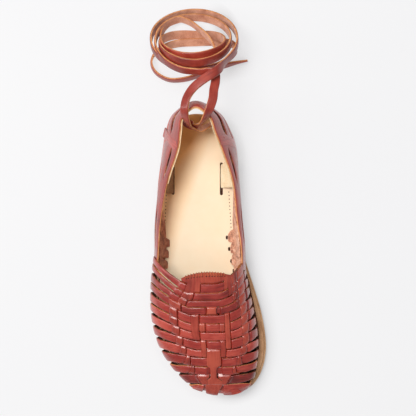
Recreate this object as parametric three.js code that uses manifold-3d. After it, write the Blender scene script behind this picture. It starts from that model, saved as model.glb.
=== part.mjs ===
// Right shoe, a woven leather huarache flat with an ankle lace coiled behind the heel. Millimetres.
// +Z up, toe toward -Y, +X is the inner (big toe) side. The sole stands on z = 0.
import * as THREE from 'three';
import Module from 'manifold-3d';

const wasm = await Module();
wasm.setup();

// driving sizes
const OUTSOLE_THICK = 4.0;
const MIDSOLE_THICK = 2.4;
const INSOLE_THICK = 2.4;
const SEAT_GAP = 0.3;          // between pieces that lie on each other
const TOE_SPRING = 4.0;        // lift of the sole at the toe tip
const TOE_SPRING_FROM = -92;   // where the sole starts to lift
const ARCH_LIFT = 1.2;         // hollow under the waist
const ARCH_FROM = -34;
const ARCH_TO = 44;
const WALL = 1.7;              // leather of the upper, flesh side to grain side
const RELIEF = 0.8;            // how far a visible strip stands above the grooves of the weave
const GROOVE = 0.9;            // width of a groove between strips
const WIDE_LINE = 13.5;        // height of the upper's widest line
const TUCK = 4.5;              // how far the strips turn in below that line
const CREST_LEAN = 3.0;        // crest of the forefoot leans to the big toe side
const SECTION_FULL = 0.78;     // below 1 the cross section is fuller than an ellipse
const LACE_DIAMETER = 4.0;     // stand-in for the flat lace, 7 x 2
const MIDDLE = { x: 0.45, y: -0.75 };  // middle of the shoe's box before it is centred

// one row per section, heel to toe: widest line of the upper and edge of the sole
const LAST = [
  { y: 120, lateral: -31.5, medial: 13.2, soleLateral: -23.5, soleMedial: 3.2 },
  { y: 105, lateral: -38.0, medial: 21.2, soleLateral: -36.7, soleMedial: 20.5 },
  { y: 88, lateral: -40.8, medial: 25.7, soleLateral: -40.0, soleMedial: 27.0 },
  { y: 65, lateral: -43.8, medial: 27.4, soleLateral: -41.6, soleMedial: 29.9 },
  { y: 40, lateral: -44.5, medial: 28.6, soleLateral: -42.6, soleMedial: 29.6 },
  { y: 15, lateral: -45.6, medial: 31.0, soleLateral: -44.2, soleMedial: 31.2 },
  { y: -10, lateral: -48.9, medial: 34.0, soleLateral: -47.0, soleMedial: 34.8 },
  { y: -35, lateral: -51.5, medial: 38.2, soleLateral: -49.2, soleMedial: 40.9 },
  { y: -55, lateral: -51.4, medial: 42.5, soleLateral: -49.4, soleMedial: 46.4 },
  { y: -75, lateral: -48.0, medial: 46.0, soleLateral: -46.4, soleMedial: 51.1 },
  { y: -92, lateral: -41.5, medial: 46.9, soleLateral: -40.4, soleMedial: 52.7 },
  { y: -107, lateral: -31.0, medial: 45.2, soleLateral: -31.0, soleMedial: 50.5 },
  { y: -119, lateral: -20.0, medial: 41.4, soleLateral: -19.4, soleMedial: 45.0 },
  { y: -127, lateral: -9.5, medial: 34.2, soleLateral: -8.6, soleMedial: 36.8 },
];
const UPPER_ENDS = { toe: { x: 20, y: -133.2 }, heel: { x: -9, y: 130.5 } };
const SOLE_ENDS = { toe: { x: 20.5, y: -132.8 }, heel: { x: -10.5, y: 122.5 } };

// height of the forefoot along its crest
const CREST = [
  { y: -18, z: 52.0 }, { y: -38, z: 48.0 }, { y: -58, z: 43.2 }, { y: -78, z: 38.2 },
  { y: -98, z: 32.2 }, { y: -113, z: 26.8 }, { y: -122, z: 22.8 }, { y: -129, z: 19.0 },
  { y: -133.2, z: 16.8 },
];

// one row per crosswise strip, throat to toe. y: its back edge on the crest; backLateral, backMedial: how
// far that edge has swept back at the wide line; gapLateral, gapMedial: opening behind it at the side;
// spread: how far apart the lengthwise strips are; chart: which strip shows, "-" the crosswise one
const named = (columns, rows) => rows.map(
  (row) => Object.fromEntries(columns.map((column, i) => [column, row[i]])));
const WEFTS = named(['y', 'backLateral', 'backMedial', 'gapLateral', 'gapMedial', 'spread', 'chart'], [
  [-30.1, 23.0, 20.0, 0.0, 0.0, 0.62, 'abcde---ijklm'],
  [-38.1, 25.0, 20.0, 0.8, 1.2, 0.74, 'abcd-----jklm'],
  [-44.8, 23.8, 19.0, 2.6, 2.4, 0.88, 'abc-------klm'],
  [-51.1, 21.2, 17.0, 1.0, 1.4, 1.00, 'ab----g----lm'],
  [-57.8, 19.2, 15.0, 2.6, 2.4, 1.00, 'a---e---i---m'],
  [-65.9, 17.3, 14.0, 1.0, 1.6, 1.00, 'a---ef-hi---m'],
  [-73.6, 15.6, 13.0, 2.4, 2.4, 0.98, 'a---e---i---m'],
  [-81.3, 12.3, 11.0, 2.4, 2.4, 0.88, 'a----f-hi---m'],
  [-89.6, 10.0, 9.0, 2.4, 2.4, 0.79, 'a----fgh----m'],
  [-97.0, 5.2, 7.0, 2.2, 2.2, 0.66, 'a-----g-----m'],
  [-105.4, 2.0, 5.0, 2.2, 2.2, 0.50, 'a-----g-----m'],
  [-113.4, 0.4, 3.5, 1.8, 2.0, 0.34, '-eeeeegiiiii-'],
  [-121.6, -1.5, 2.0, 1.4, 6.5, 0.16, '-nnnnnnnnnnn-'],
]);
const WARP_MIDDLE = 5.6;                                    // x of the middle lengthwise strip
const WARP_HALF = 5.8;                                      // half of its width
const WARP_EDGES = [5.8, 11.2, 17.0, 22.3, 26.8, 30.0, 37.5]; // edges of the strips beside it
const FLAP = { y: -20.0, dip: 5.5, reach: 25, first: 0, last: 11 };  // plain flap ahead of the throat
const BORDER = 0.84;           // the outermost lengthwise strip stays within this share of the half width
const BOW_START = 0.25;
const BOW_LATERAL = 1.25;
const BOW_MEDIAL = 2.0;

// one row per section of the strap quarter, inner front round the heel to outer front: its lower and upper
// edge
const QUARTER = [
  { xLow: 34.2, yLow: -20, zLow: 14, xTop: 32.2, yTop: -19, zTop: 31 },
  { xLow: 32.8, yLow: 2, zLow: 13, xTop: 31.2, yTop: 2, zTop: 33 },
  { xLow: 30.0, yLow: 24, zLow: 13, xTop: 28.6, yTop: 25, zTop: 33.5 },
  { xLow: 28.0, yLow: 58, zLow: 12.5, xTop: 24.6, yTop: 60, zTop: 39 },
  { xLow: 25.4, yLow: 90, zLow: 11.5, xTop: 15.4, yTop: 87, zTop: 48.5 },
  { xLow: 20.0, yLow: 107, zLow: 14, xTop: 9.2, yTop: 103, zTop: 54 },
  { xLow: 10.5, yLow: 120.5, zLow: 22, xTop: 3.4, yTop: 116.5, zTop: 59 },
  { xLow: -9.5, yLow: 129.2, zLow: 34, xTop: -7.6, yTop: 125.6, zTop: 63 },
  { xLow: -29.2, yLow: 120.5, zLow: 22, xTop: -18.2, yTop: 116.5, zTop: 59 },
  { xLow: -37.4, yLow: 107, zLow: 14, xTop: -22.0, yTop: 103, zTop: 54 },
  { xLow: -40.6, yLow: 90, zLow: 11.5, xTop: -24.8, yTop: 87, zTop: 48.5 },
  { xLow: -43.8, yLow: 58, zLow: 12.5, xTop: -34.4, yTop: 60, zTop: 39 },
  { xLow: -45.0, yLow: 24, zLow: 13, xTop: -38.6, yTop: 25, zTop: 33.5 },
  { xLow: -47.4, yLow: 2, zLow: 13, xTop: -41.2, yTop: 2, zTop: 33 },
  { xLow: -48.9, yLow: -20, zLow: 14, xTop: -44.4, yTop: -19, zTop: 31 },
];
const QUARTER_STEPS = 42;
const QUARTER_BULGE = 3.2;
// the slits that part the quarter into straps: height as a share of the wall, opening and where it runs
const SLITS = [
  { share: 0.36, opening: 1.5, from: 0.30, to: 0.44 },
  { share: 0.36, opening: 1.5, from: 0.56, to: 0.70 },
  { share: 0.68, opening: 2.4, from: 0.06, to: 0.24 },
  { share: 0.68, opening: 1.5, from: 0.30, to: 0.45 },
  { share: 0.68, opening: 1.5, from: 0.55, to: 0.70 },
  { share: 0.68, opening: 2.4, from: 0.76, to: 0.94 },
];

const INSOLE_INSET = 5.3;      // the insole ends inside the feet of the strips
const TAB_SLOTS = [
  { name: 'medial', x: 12.3, yBack: 77, yFront: 48, width: 3.4 },
  { name: 'lateral', x: -32.0, yBack: 73, yFront: 48, width: 3.4 },
];
const TAB_THICK = 1.6;
// how a tab bends from its slot to the wall: share of the way out, of the height, slope of its thickness
const TAB_BEND = [
  { reach: 0.0, rise: 0.0, flat: 0.0 },
  { reach: 0.0, rise: 0.0, flat: 0.0 },
  { reach: 0.2, rise: 0.12, flat: 0.7 },
  { reach: 0.6, rise: 0.40, flat: 0.7 },
  { reach: 1.0, rise: 1.0, flat: 0.3 },
];

// the two tails of the lace, from the heel strap over its rim to the coil
const LACE_TAILS = [
  { name: 'lace_tail_a',
    route: [[9.2, 112.6, 37], [3, 110.5, 33], [-5.7, 106.6, 31.5], [-13.5, 108.5, 42], [-16.2, 113, 58],
      [-17.2, 121, 67.5], [-15.5, 131, 68], [-9.6, 140.5, 66.5], [-0.4, 148, 66.5], [10.6, 155.6, 62],
      [19.6, 165.2, 50.7]] },
  { name: 'lace_tail_b',
    route: [[-27.2, 113.6, 37], [-16, 115, 36], [-8, 115.5, 41], [-2, 113.5, 51], [0.6, 114, 61],
      [4.4, 121, 67.5], [7.6, 131, 67], [8.2, 139, 63], [7.0, 147.4, 58.5], [7.4, 156.2, 55.2]] },
];
const COIL = { x: -12, y: 183, outer: 40.5, inner: 29, half: 6.5, tilt: 42 };

// helpers
const rad = (degrees) => degrees * Math.PI / 180;
const lerp = (a, b, t) => a + (b - a) * t;
const bounded = (value, low, high) => Math.min(high, Math.max(low, value));
const smoothstep = (a, b, t) => {
  const u = bounded((t - a) / (b - a), 0, 1);
  return u * u * (3 - 2 * u);
};

function along(table, key, value, at) {   // smooth value of a table's column at a place of its key column
  const rising = table[1][key] > table[0][key];
  let i = 0;
  while (i < table.length - 2 && (rising ? at > table[i + 1][key] : at < table[i + 1][key])) i += 1;
  const a = table[i];
  const b = table[i + 1];
  const before = table[i - 1] ?? a;
  const after = table[i + 2] ?? b;
  const span = b[key] - a[key];
  const t = bounded((at - a[key]) / span, -0.2, 1.2);
  const slopeA = (b[value] - before[value]) / (b[key] - before[key]) * span;
  const slopeB = (after[value] - a[value]) / (after[key] - a[key]) * span;
  const t2 = t * t;
  const t3 = t2 * t;
  return (2 * t3 - 3 * t2 + 1) * a[value] + (t3 - 2 * t2 + t) * slopeA
    + (3 * t2 - 2 * t3) * b[value] + (t3 - t2) * slopeB;
}

function closedOutline(lateral, medial, ends, skin) {   // skin: from the outer face in to the line wanted
  const around = [new THREE.Vector3(ends.heel.x, ends.heel.y - skin, 0),
    ...LAST.map((row) => new THREE.Vector3(row[lateral] + skin, row.y, 0)),
    new THREE.Vector3(ends.toe.x, ends.toe.y + skin, 0),
    ...LAST.slice().reverse().map((row) => new THREE.Vector3(row[medial] - skin, row.y, 0))];
  const points = new THREE.CatmullRomCurve3(around, true, 'centripetal').getPoints(600);
  const ys = points.map((p) => p.y);
  const crossings = (axis, other, at) => {
    const found = [];
    for (let i = 1; i < points.length; i += 1) {
      const p = points[i - 1];
      const q = points[i];
      if ((p[axis] <= at) !== (q[axis] <= at)) {
        found.push(lerp(p[other], q[other], (at - p[axis]) / (q[axis] - p[axis])));
      }
    }
    return found;
  };
  const toeY = Math.min(...ys);
  const heelY = Math.max(...ys);
  return {
    toeY,
    heelY,
    across(y) {
      const found = crossings('y', 'x', bounded(y, toeY + 0.02, heelY - 0.02));
      return { lateral: Math.min(...found), medial: Math.max(...found) };
    },
    toeAt: (x) => Math.min(...crossings('x', 'y', x)),
  };
}
const upperOutline = closedOutline('lateral', 'medial', UPPER_ENDS, WALL / 2 + RELIEF);
const soleOutline = closedOutline('soleLateral', 'soleMedial', SOLE_ENDS, 0);

function ground(y) {                       // underside of the sole
  const toeward = Math.max(0, (TOE_SPRING_FROM - y) / (TOE_SPRING_FROM - SOLE_ENDS.toe.y));
  const waist = bounded((y - ARCH_FROM) / (ARCH_TO - ARCH_FROM), 0, 1);
  return TOE_SPRING * toeward ** 2 + ARCH_LIFT * Math.sin(Math.PI * waist) ** 2;
}
const midsoleTop = (y) => ground(y) + OUTSOLE_THICK + SEAT_GAP + MIDSOLE_THICK;
const insoleTop = (y) => midsoleTop(y) + SEAT_GAP + INSOLE_THICK;
const wideLine = (y) => WIDE_LINE + ground(y);

// the last: angle -90 is the wide line on the outer side, 0 the crest, 90 the inner side; beyond 90 the wall
// turns in toward the insole
function last(angle, y) {
  const { lateral, medial } = upperOutline.across(y);
  const middle = (lateral + medial) / 2;
  const half = (medial - lateral) / 2;
  const above = rad(bounded(angle, -90, 90));
  const s = Math.sin(above);
  const c = Math.max(0, Math.cos(above));
  const low = wideLine(y);
  const crest = Math.max(low + 0.5, along(CREST, 'y', 'z', y));
  const z = low + (crest - low) * c ** SECTION_FULL;
  const point = new THREE.Vector3(middle + half * s + CREST_LEAN * c * c, y, z);
  const below = Math.abs(angle) - 90;
  if (below > 0) {
    const side = Math.sign(angle);
    const step = 0.8;
    const key = side < 0 ? 'lateral' : 'medial';
    const dx = upperOutline.across(y + step)[key] - upperOutline.across(y - step)[key];
    const inward = new THREE.Vector3(-side * 2 * step, side * dx, 0).normalize();
    const drop = low - midsoleTop(y) - SEAT_GAP - WALL * 0.55;
    point.addScaledVector(inward, TUCK * (1 - Math.cos(rad(below))));
    point.z = low - drop * Math.sin(rad(below));
  }
  return point;
}
function lastNormal(angle, y) {
  const alongFoot = last(angle, y + 0.4).sub(last(angle, y - 0.4));
  const acrossFoot = last(angle + 0.5, y).sub(last(angle - 0.5, y));
  return acrossFoot.cross(alongFoot).normalize();
}
const onLast = (angle, y) => ({ point: last(angle, y), normal: lastNormal(angle, y) });

// closed solid from a sheet of strips. edge(i, side, j) gives the back (0) or front (1) edge of strip i at
// column j; parted(k, j) tells whether the strips meeting at line k stand apart there
function stripSolid({ rows, columns, edge, exists, parted, patch, relief }) {
  const index = new Map();
  const vertices = [];
  const triangles = [];
  const vertex = (p) => {
    const key = [p.x, p.y, p.z].map((v) => Math.round(v * 2000)).join();
    if (!index.has(key)) {
      index.set(key, vertices.length / 3);
      vertices.push(p.x, p.y, p.z);
    }
    return index.get(key);
  };
  const quad = (a, b, c, d) => {
    const [i, j, k, l] = [a, b, c, d].map(vertex);
    if (i !== j && j !== k && i !== k) triangles.push(i, j, k);
    if (i !== k && k !== l && i !== l) triangles.push(i, k, l);
  };
  const corner = (i, side, j) => {
    const { point, normal } = edge(i, side, j);
    const outer = point.clone().addScaledVector(normal, WALL / 2);
    const inner = point.clone().addScaledVector(normal, -WALL / 2);
    return { outer, inner, normal };
  };
  for (let i = 0; i < rows; i += 1) {
    for (let j = 0; j < columns; j += 1) {
      if (!exists(i, j)) continue;
      const a = corner(i, 0, j);
      const b = corner(i, 0, j + 1);
      const c = corner(i, 1, j + 1);
      const d = corner(i, 1, j);
      const apartBack = !exists(i - 1, j) || parted(i, j) || parted(i, j + 1);
      const apartFront = !exists(i + 1, j) || parted(i + 1, j) || parted(i + 1, j + 1);
      const endFirst = !exists(i, j - 1);
      const endLast = !exists(i, j + 1);
      quad(a.inner, b.inner, c.inner, d.inner);
      if (apartBack) quad(a.outer, b.outer, b.inner, a.inner);
      if (apartFront) quad(c.outer, d.outer, d.inner, c.inner);
      if (endFirst) quad(d.outer, a.outer, a.inner, d.inner);
      if (endLast) quad(b.outer, c.outer, c.inner, b.inner);
      if (!relief) {
        quad(a.outer, d.outer, c.outer, b.outer);
        continue;
      }
      const mine = patch(i, j);
      const back = apartBack || patch(i - 1, j) !== mine;
      const front = apartFront || patch(i + 1, j) !== mine;
      const first = endFirst || patch(i, j - 1) !== mine;
      const final = endLast || patch(i, j + 1) !== mine;
      const raise = (me, beside, onBeside, ahead, onAhead) => {
        const p = me.outer.clone();
        const shift = (to) => {
          const share = Math.min(0.35, GROOVE / 2 / Math.max(0.01, to.outer.distanceTo(me.outer)));
          p.addScaledVector(to.outer.clone().sub(me.outer), share);
        };
        if (onBeside) shift(beside);
        if (onAhead) shift(ahead);
        return p.addScaledVector(me.normal, relief);
      };
      const ra = raise(a, b, first, d, back);
      const rb = raise(b, a, final, c, back);
      const rc = raise(c, d, final, b, front);
      const rd = raise(d, c, first, a, front);
      quad(ra, rd, rc, rb);
      if (back) quad(ra, rb, b.outer, a.outer);
      if (front) quad(rc, rd, d.outer, c.outer);
      if (first) quad(rd, ra, a.outer, d.outer);
      if (final) quad(rb, rc, c.outer, b.outer);
    }
  }
  return solid(vertices, triangles);
}

function solid(vertices, triangles) {
  const vertProperties = new Float32Array(vertices);
  const triVerts = new Uint32Array(triangles);
  return new wasm.Manifold(new wasm.Mesh({ numProp: 3, vertProperties, triVerts }));
}
function solidOf(geometry) {               // welded solid of a three.js geometry
  const index = new Map();
  const vertices = [];
  const triangles = [];
  const { position } = geometry.attributes;
  const order = geometry.index ? Array.from(geometry.index.array) : [...Array(position.count).keys()];
  const welded = order.map((i) => {
    const p = [position.getX(i), position.getY(i), position.getZ(i)];
    const key = p.map((v) => Math.round(v * 5000)).join();
    if (!index.has(key)) {
      index.set(key, vertices.length / 3);
      vertices.push(...p);
    }
    return index.get(key);
  });
  for (let i = 0; i < welded.length; i += 3) {
    const [a, b, c] = welded.slice(i, i + 3);
    if (a !== b && b !== c && a !== c) triangles.push(a, b, c);
  }
  return solid(vertices, triangles);
}
function geometryOf(manifold) {
  const mesh = manifold.getMesh();
  const geometry = new THREE.BufferGeometry();
  const positions = new Float32Array(mesh.numVert * 3);
  for (let i = 0; i < mesh.numVert; i += 1) {
    for (let k = 0; k < 3; k += 1) positions[i * 3 + k] = mesh.vertProperties[i * mesh.numProp + k];
  }
  geometry.setAttribute('position', new THREE.BufferAttribute(positions, 3));
  geometry.setIndex(Array.from(mesh.triVerts));
  return geometry;
}

// sole layers: sections from heel to toe, closer together where the outline turns
function layer(inset, bottom, top, count) {
  const heelY = soleOutline.heelY - inset - 0.25;
  const toeY = soleOutline.toeY + inset + 0.25;
  const vertices = [];
  const triangles = [];
  for (let i = 0; i <= count; i += 1) {
    const share = (1 - Math.cos(Math.PI * i / count)) / 2;
    const y = lerp(heelY, toeY, share);
    const squeezed = lerp(soleOutline.heelY - 0.25, soleOutline.toeY + 0.25, share);
    const sole = soleOutline.across(squeezed);
    const wall = upperOutline.across(squeezed);
    const lateral = inset > 2 ? Math.max(sole.lateral, wall.lateral) : sole.lateral;
    const medial = inset > 2 ? Math.min(sole.medial, wall.medial) : sole.medial;
    const room = Math.min(inset, (medial - lateral) / 2 * 0.9);
    vertices.push(lateral + room, y, bottom(y), medial - room, y, bottom(y));
    vertices.push(medial - room, y, top(y), lateral + room, y, top(y));
  }
  const face = (a, b, c, d) => triangles.push(a, b, c, a, c, d);
  for (let i = 0; i < count; i += 1) {
    const p = i * 4;
    const q = p + 4;
    for (let k = 0; k < 4; k += 1) face(p + k, p + (k + 1) % 4, q + (k + 1) % 4, q + k);
  }
  face(3, 2, 1, 0);
  const end = count * 4;
  face(end, end + 1, end + 2, end + 3);
  return solid(vertices, triangles);
}
const outsole = layer(0, ground, (y) => ground(y) + OUTSOLE_THICK, 44);
const midsole = layer(0.8, (y) => ground(y) + OUTSOLE_THICK + SEAT_GAP, midsoleTop, 44);
let insole = layer(INSOLE_INSET, (y) => midsoleTop(y) + SEAT_GAP, insoleTop, 44);
for (const slot of TAB_SLOTS) {
  const shape = new THREE.Shape();
  const r = slot.width / 2;
  shape.absarc(slot.x, slot.yBack - r, r, 0, Math.PI, false);
  shape.absarc(slot.x, slot.yFront + r, r, Math.PI, 2 * Math.PI, false);
  const cutter = new THREE.ExtrudeGeometry(shape, { depth: 12, bevelEnabled: false, curveSegments: 6 });
  insole = insole.subtract(solidOf(cutter));
}

// woven forefoot. Lines 0..14 part the flap, the thirteen strips and the toe edge; columns run from the foot
// of the outer wall over the lengthwise strips to the foot of the inner wall
const LINES = [...WARP_EDGES.slice().reverse().map((v) => -v), ...WARP_EDGES];
const FEET = [165, 128, 90];
const SIDE_SHARES = [0.70, 0.36];
const FIRST_WARP = FEET.length + SIDE_SHARES.length;
const LAST_WARP = FIRST_WARP + LINES.length - 1;
const COLUMNS = LAST_WARP + FIRST_WARP;
const STRIPS = WEFTS.length;
const bow = (weft, x) => {
  const reach = Math.max(0, (Math.abs(x) - BOW_START) / (1 - BOW_START));
  return x < 0 ? weft.backLateral * reach ** BOW_LATERAL : weft.backMedial * reach ** BOW_MEDIAL;
};
// angle and y where a lengthwise strip's edge meets a crosswise strip's back edge
function warpPlace(weft, line) {
  const outermost = WARP_EDGES[WARP_EDGES.length - 1] - WARP_HALF;
  const { lateral: outerSide, medial: innerSide } = upperOutline.across(weft.y);
  const room = (line < 0 ? WARP_MIDDLE - outerSide : innerSide - WARP_MIDDLE) * BORDER - WARP_HALF;
  const spread = Math.min(weft.spread, room / outermost);
  const x = WARP_MIDDLE + Math.sign(line) * (WARP_HALF + (Math.abs(line) - WARP_HALF) * spread);
  let y = weft.y;
  let s = 0;
  for (let i = 0; i < 8; i += 1) {
    const { lateral, medial } = upperOutline.across(y);
    const half = (medial - lateral) / 2;
    const middle = (lateral + medial) / 2;
    s = bounded((x - middle - CREST_LEAN * (1 - s * s)) / half, -0.97, 0.97);
    y = weft.y + bow(weft, s);
  }
  return { angle: Math.asin(s) * 180 / Math.PI, y };
}
function columnPlace(k, j) {               // angle, y and opening at strip line k (1..13) and column j
  const weft = WEFTS[k - 1];
  if (j >= FIRST_WARP && j <= LAST_WARP) {
    return { ...warpPlace(weft, LINES[j - FIRST_WARP]), gap: 0 };
  }
  const outer = j < FIRST_WARP;
  const step = outer ? j : COLUMNS - j;
  const side = outer ? -1 : 1;
  const opening = outer ? weft.gapLateral : weft.gapMedial;
  if (step < FEET.length) {
    return { angle: side * FEET[step], y: weft.y + bow(weft, side), gap: opening };
  }
  const border = warpPlace(weft, outer ? LINES[0] : LINES[LINES.length - 1]);
  const share = SIDE_SHARES[step - FEET.length];
  const angle = lerp(border.angle, side * 90, share);
  const y = weft.y + bow(weft, Math.sin(rad(angle)));
  return { angle, y, gap: opening * smoothstep(0, 0.6, share) };
}
const toeFoot = [90, 128, 165];
function toeEdge(j, foot) {                // the toe's wide line and the wall below it
  const start = columnPlace(STRIPS, FEET.length - 1);
  const finish = columnPlace(STRIPS, COLUMNS - FEET.length + 1);
  const from = last(-90, start.y - start.gap / 2);
  const to = last(90, finish.y - finish.gap / 2);
  const share = (j - (FEET.length - 1)) / (COLUMNS - 2 * (FEET.length - 1));
  const eased = 0.5 - 0.5 * Math.cos(Math.PI * share);
  const x = lerp(from.x, to.x, lerp(share, eased, 0.45));
  const toeY = (at) => upperOutline.toeAt(bounded(at, from.x, to.x));
  const cornerY = share <= 0 ? from.y : to.y;
  const y = share > 0 && share < 1 ? toeY(x) : cornerY;
  const near = (dx) => new THREE.Vector3(x + dx, toeY(x + dx), 0);
  const tangent = near(0.6).sub(near(-0.6)).normalize();
  const inward = new THREE.Vector3(-tangent.y, tangent.x, 0);
  const point = new THREE.Vector3(x, y, wideLine(y));
  const below = rad(foot - 90);
  const drop = wideLine(y) - midsoleTop(y) - SEAT_GAP - WALL * 0.55;
  point.addScaledVector(inward, TUCK * (1 - Math.cos(below)));
  point.z = wideLine(y) - drop * Math.sin(below);
  const normal = inward.clone().multiplyScalar(-Math.cos(below));
  normal.z = -Math.sin(below) * 0.8 + (foot === 90 ? 0.25 : 0);
  return { point, normal: normal.normalize() };
}
function weaveEdge(i, side, j) {
  const k = i + side;                      // line behind (side 0) or ahead (side 1) of strip i
  if (i > STRIPS) return toeEdge(j, toeFoot[i - STRIPS - 1 + side]);
  if (k === STRIPS + 1) return toeEdge(j, 90);
  if (k === 0) {
    const base = columnPlace(1, j);
    const { x } = last(base.angle, base.y);
    const y = FLAP.y - FLAP.dip * Math.abs((x - WARP_MIDDLE + 2) / FLAP.reach) ** 2.2;
    return onLast(base.angle, Math.max(y, base.y + 1.5));
  }
  const place = columnPlace(k, j);
  const flap = i === 0 || k === 1;
  const opened = flap ? 0 : (side === 0 ? -1 : 1) * place.gap / 2;
  return onLast(place.angle, place.y + opened);
}
const weave = stripSolid({
  rows: STRIPS + 3,
  columns: COLUMNS,
  edge: weaveEdge,
  relief: RELIEF,
  exists(i, j) {
    if (i < 0 || j < 0 || j >= COLUMNS || i > STRIPS + 2) return false;
    if (i === 0) return j >= FIRST_WARP + FLAP.first && j <= FIRST_WARP + FLAP.last;
    if (i >= STRIPS) return j >= FEET.length - 1 && j < COLUMNS - FEET.length + 1;
    return true;
  },
  parted: (k, j) => k >= 2 && k <= STRIPS && columnPlace(k, j).gap > 0.01,
  patch(i, j) {
    if (i === 0) return 'flap';
    if (i > STRIPS) return 'toe';
    const { chart } = WEFTS[i - 1];
    const column = j - FIRST_WARP;
    if ((chart[column] ?? '-') !== '-') return chart[column];
    const before = chart.slice(0, Math.max(0, column)).replaceAll('-', '').length;
    return `strip ${i} after ${before}`;   // a run of the crosswise strip between two lengthwise ones
  },
});

// strap quarter
const quarterRows = QUARTER.map((row, i) => ({ ...row, place: i / (QUARTER.length - 1) }));
const quarterEdge = (place, share) => {
  const value = (key) => along(quarterRows, 'place', key, place);
  const top = new THREE.Vector3(value('xTop'), value('yTop'), value('zTop'));
  const low = new THREE.Vector3(value('xLow'), value('yLow'), value('zLow'));
  return { top, low, point: top.clone().lerp(low, share) };
};
function quarterPoint(place, share) {
  const { point } = quarterEdge(place, share);
  const ahead = quarterEdge(Math.min(1, place + 0.01), share).point;
  const run = ahead.sub(quarterEdge(Math.max(0, place - 0.01), share).point);
  const outward = new THREE.Vector3(run.y, -run.x, 0).normalize();
  const ends = smoothstep(0, 0.16, place) * (1 - smoothstep(0.84, 1, place));
  return point.addScaledVector(outward, QUARTER_BULGE * 4 * share * (1 - share) * ends);
}
function quarterNormal(place, share) {
  const ahead = quarterPoint(Math.min(1, place + 0.008), share);
  const run = ahead.sub(quarterPoint(Math.max(0, place - 0.008), share));
  const above = quarterPoint(place, Math.max(0, share - 0.05));
  const rise = above.sub(quarterPoint(place, Math.min(1, share + 0.05)));
  return run.cross(rise).normalize();
}
const slitLines = [0, 0.36, 0.68, 1];
const slitOpening = (k, j) => {
  const place = j / QUARTER_STEPS;
  const open = (slit) => slit.opening * smoothstep(slit.from, slit.from + 0.04, place)
    * (1 - smoothstep(slit.to - 0.04, slit.to, place));
  return Math.max(0, ...SLITS.filter((slit) => slit.share === slitLines[k]).map(open));
};
const quarter = stripSolid({
  rows: 3,
  columns: QUARTER_STEPS,
  relief: 0,
  edge(i, side, j) {
    const place = j / QUARTER_STEPS;
    const { top, low } = quarterEdge(place, 0);
    const height = top.distanceTo(low);
    const opening = slitOpening(i + side, j);
    const share = slitLines[i + side] + (side === 0 ? 1 : -1) * opening / 2 / height;
    return { point: quarterPoint(place, share), normal: quarterNormal(place, share) };
  },
  exists: (i, j) => i >= 0 && i < 3 && j >= 0 && j < QUARTER_STEPS,
  parted: (k, j) => k > 0 && k < 3 && slitOpening(k, j) > 0.01,
  patch: () => 'quarter',
});
const upper = weave.add(quarter);

// quarter tabs: from the slot in the insole up to the wall
function tab(slot) {
  const inner = slot.x > -10;
  const side = inner ? 1 : -1;
  const vertices = [];
  const triangles = [];
  const across = 5;
  const up = TAB_BEND.length - 1;
  for (let i = 0; i <= up; i += 1) {
    const { reach, rise, flat } = TAB_BEND[i];
    for (let j = 0; j <= across; j += 1) {
      const y = lerp(slot.yBack - 2.2, slot.yFront + 2.2, j / across);
      const wall = quarterPoint((inner ? 0 : 1) + side * lerp(0.262, 0.19, j / across), 0.42);
      const foot = i === 0 ? midsoleTop(y) + SEAT_GAP : insoleTop(y) + 0.5;
      const x = lerp(slot.x, wall.x - side * 2.6, reach);
      const z = lerp(foot, wall.z, rise);
      const bentY = lerp(y, wall.y, reach * 0.6);
      vertices.push(x + side * TAB_THICK / 2, bentY, z - flat, x - side * TAB_THICK / 2, bentY, z + flat);
    }
  }
  const id = (i, j, half) => (i * (across + 1) + j) * 2 + half;
  const face = (a, b, c, d) => triangles.push(...(inner ? [a, b, c, a, c, d] : [a, c, b, a, d, c]));
  for (let i = 0; i < up; i += 1) {
    for (let j = 0; j < across; j += 1) {
      face(id(i, j, 1), id(i, j + 1, 1), id(i + 1, j + 1, 1), id(i + 1, j, 1));
      face(id(i, j, 0), id(i + 1, j, 0), id(i + 1, j + 1, 0), id(i, j + 1, 0));
    }
    face(id(i, 0, 0), id(i, 0, 1), id(i + 1, 0, 1), id(i + 1, 0, 0));
    face(id(i, across, 1), id(i, across, 0), id(i + 1, across, 0), id(i + 1, across, 1));
  }
  for (let j = 0; j < across; j += 1) {
    face(id(0, j, 0), id(0, j + 1, 0), id(0, j + 1, 1), id(0, j, 1));
    face(id(up, j, 1), id(up, j + 1, 1), id(up, j + 1, 0), id(up, j, 0));
  }
  return solid(vertices, triangles);
}

function tail(route) {
  const ring = new THREE.Shape();
  for (let i = 0; i < 8; i += 1) {
    const turn = rad(45 * i + 22.5);
    const corner = [Math.cos(turn) * LACE_DIAMETER / 2, Math.sin(turn) * LACE_DIAMETER / 2];
    if (i === 0) ring.moveTo(...corner);
    else ring.lineTo(...corner);
  }
  ring.closePath();
  const points = route.map((p) => new THREE.Vector3(...p));
  const extrudePath = new THREE.CatmullRomCurve3(points, false, 'centripetal');
  return solidOf(new THREE.ExtrudeGeometry(ring, { steps: 18, extrudePath, bevelEnabled: false }));
}

function coil() {
  const middle = (COIL.outer + COIL.inner) / 2;
  const thick = (COIL.outer - COIL.inner) / 2;
  const profile = [];
  for (let i = 0; i <= 8; i += 1) {
    const turn = rad(45 * i);
    profile.push(new THREE.Vector2(middle + thick * Math.cos(turn), COIL.half * Math.sin(turn)));
  }
  const ring = new THREE.LatheGeometry(profile, 28);
  ring.rotateX(rad(90));
  ring.rotateX(rad(-COIL.tilt));
  ring.computeBoundingBox();
  ring.translate(COIL.x, COIL.y, -ring.boundingBox.min.z + 0.05);
  return solidOf(ring);
}

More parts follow.
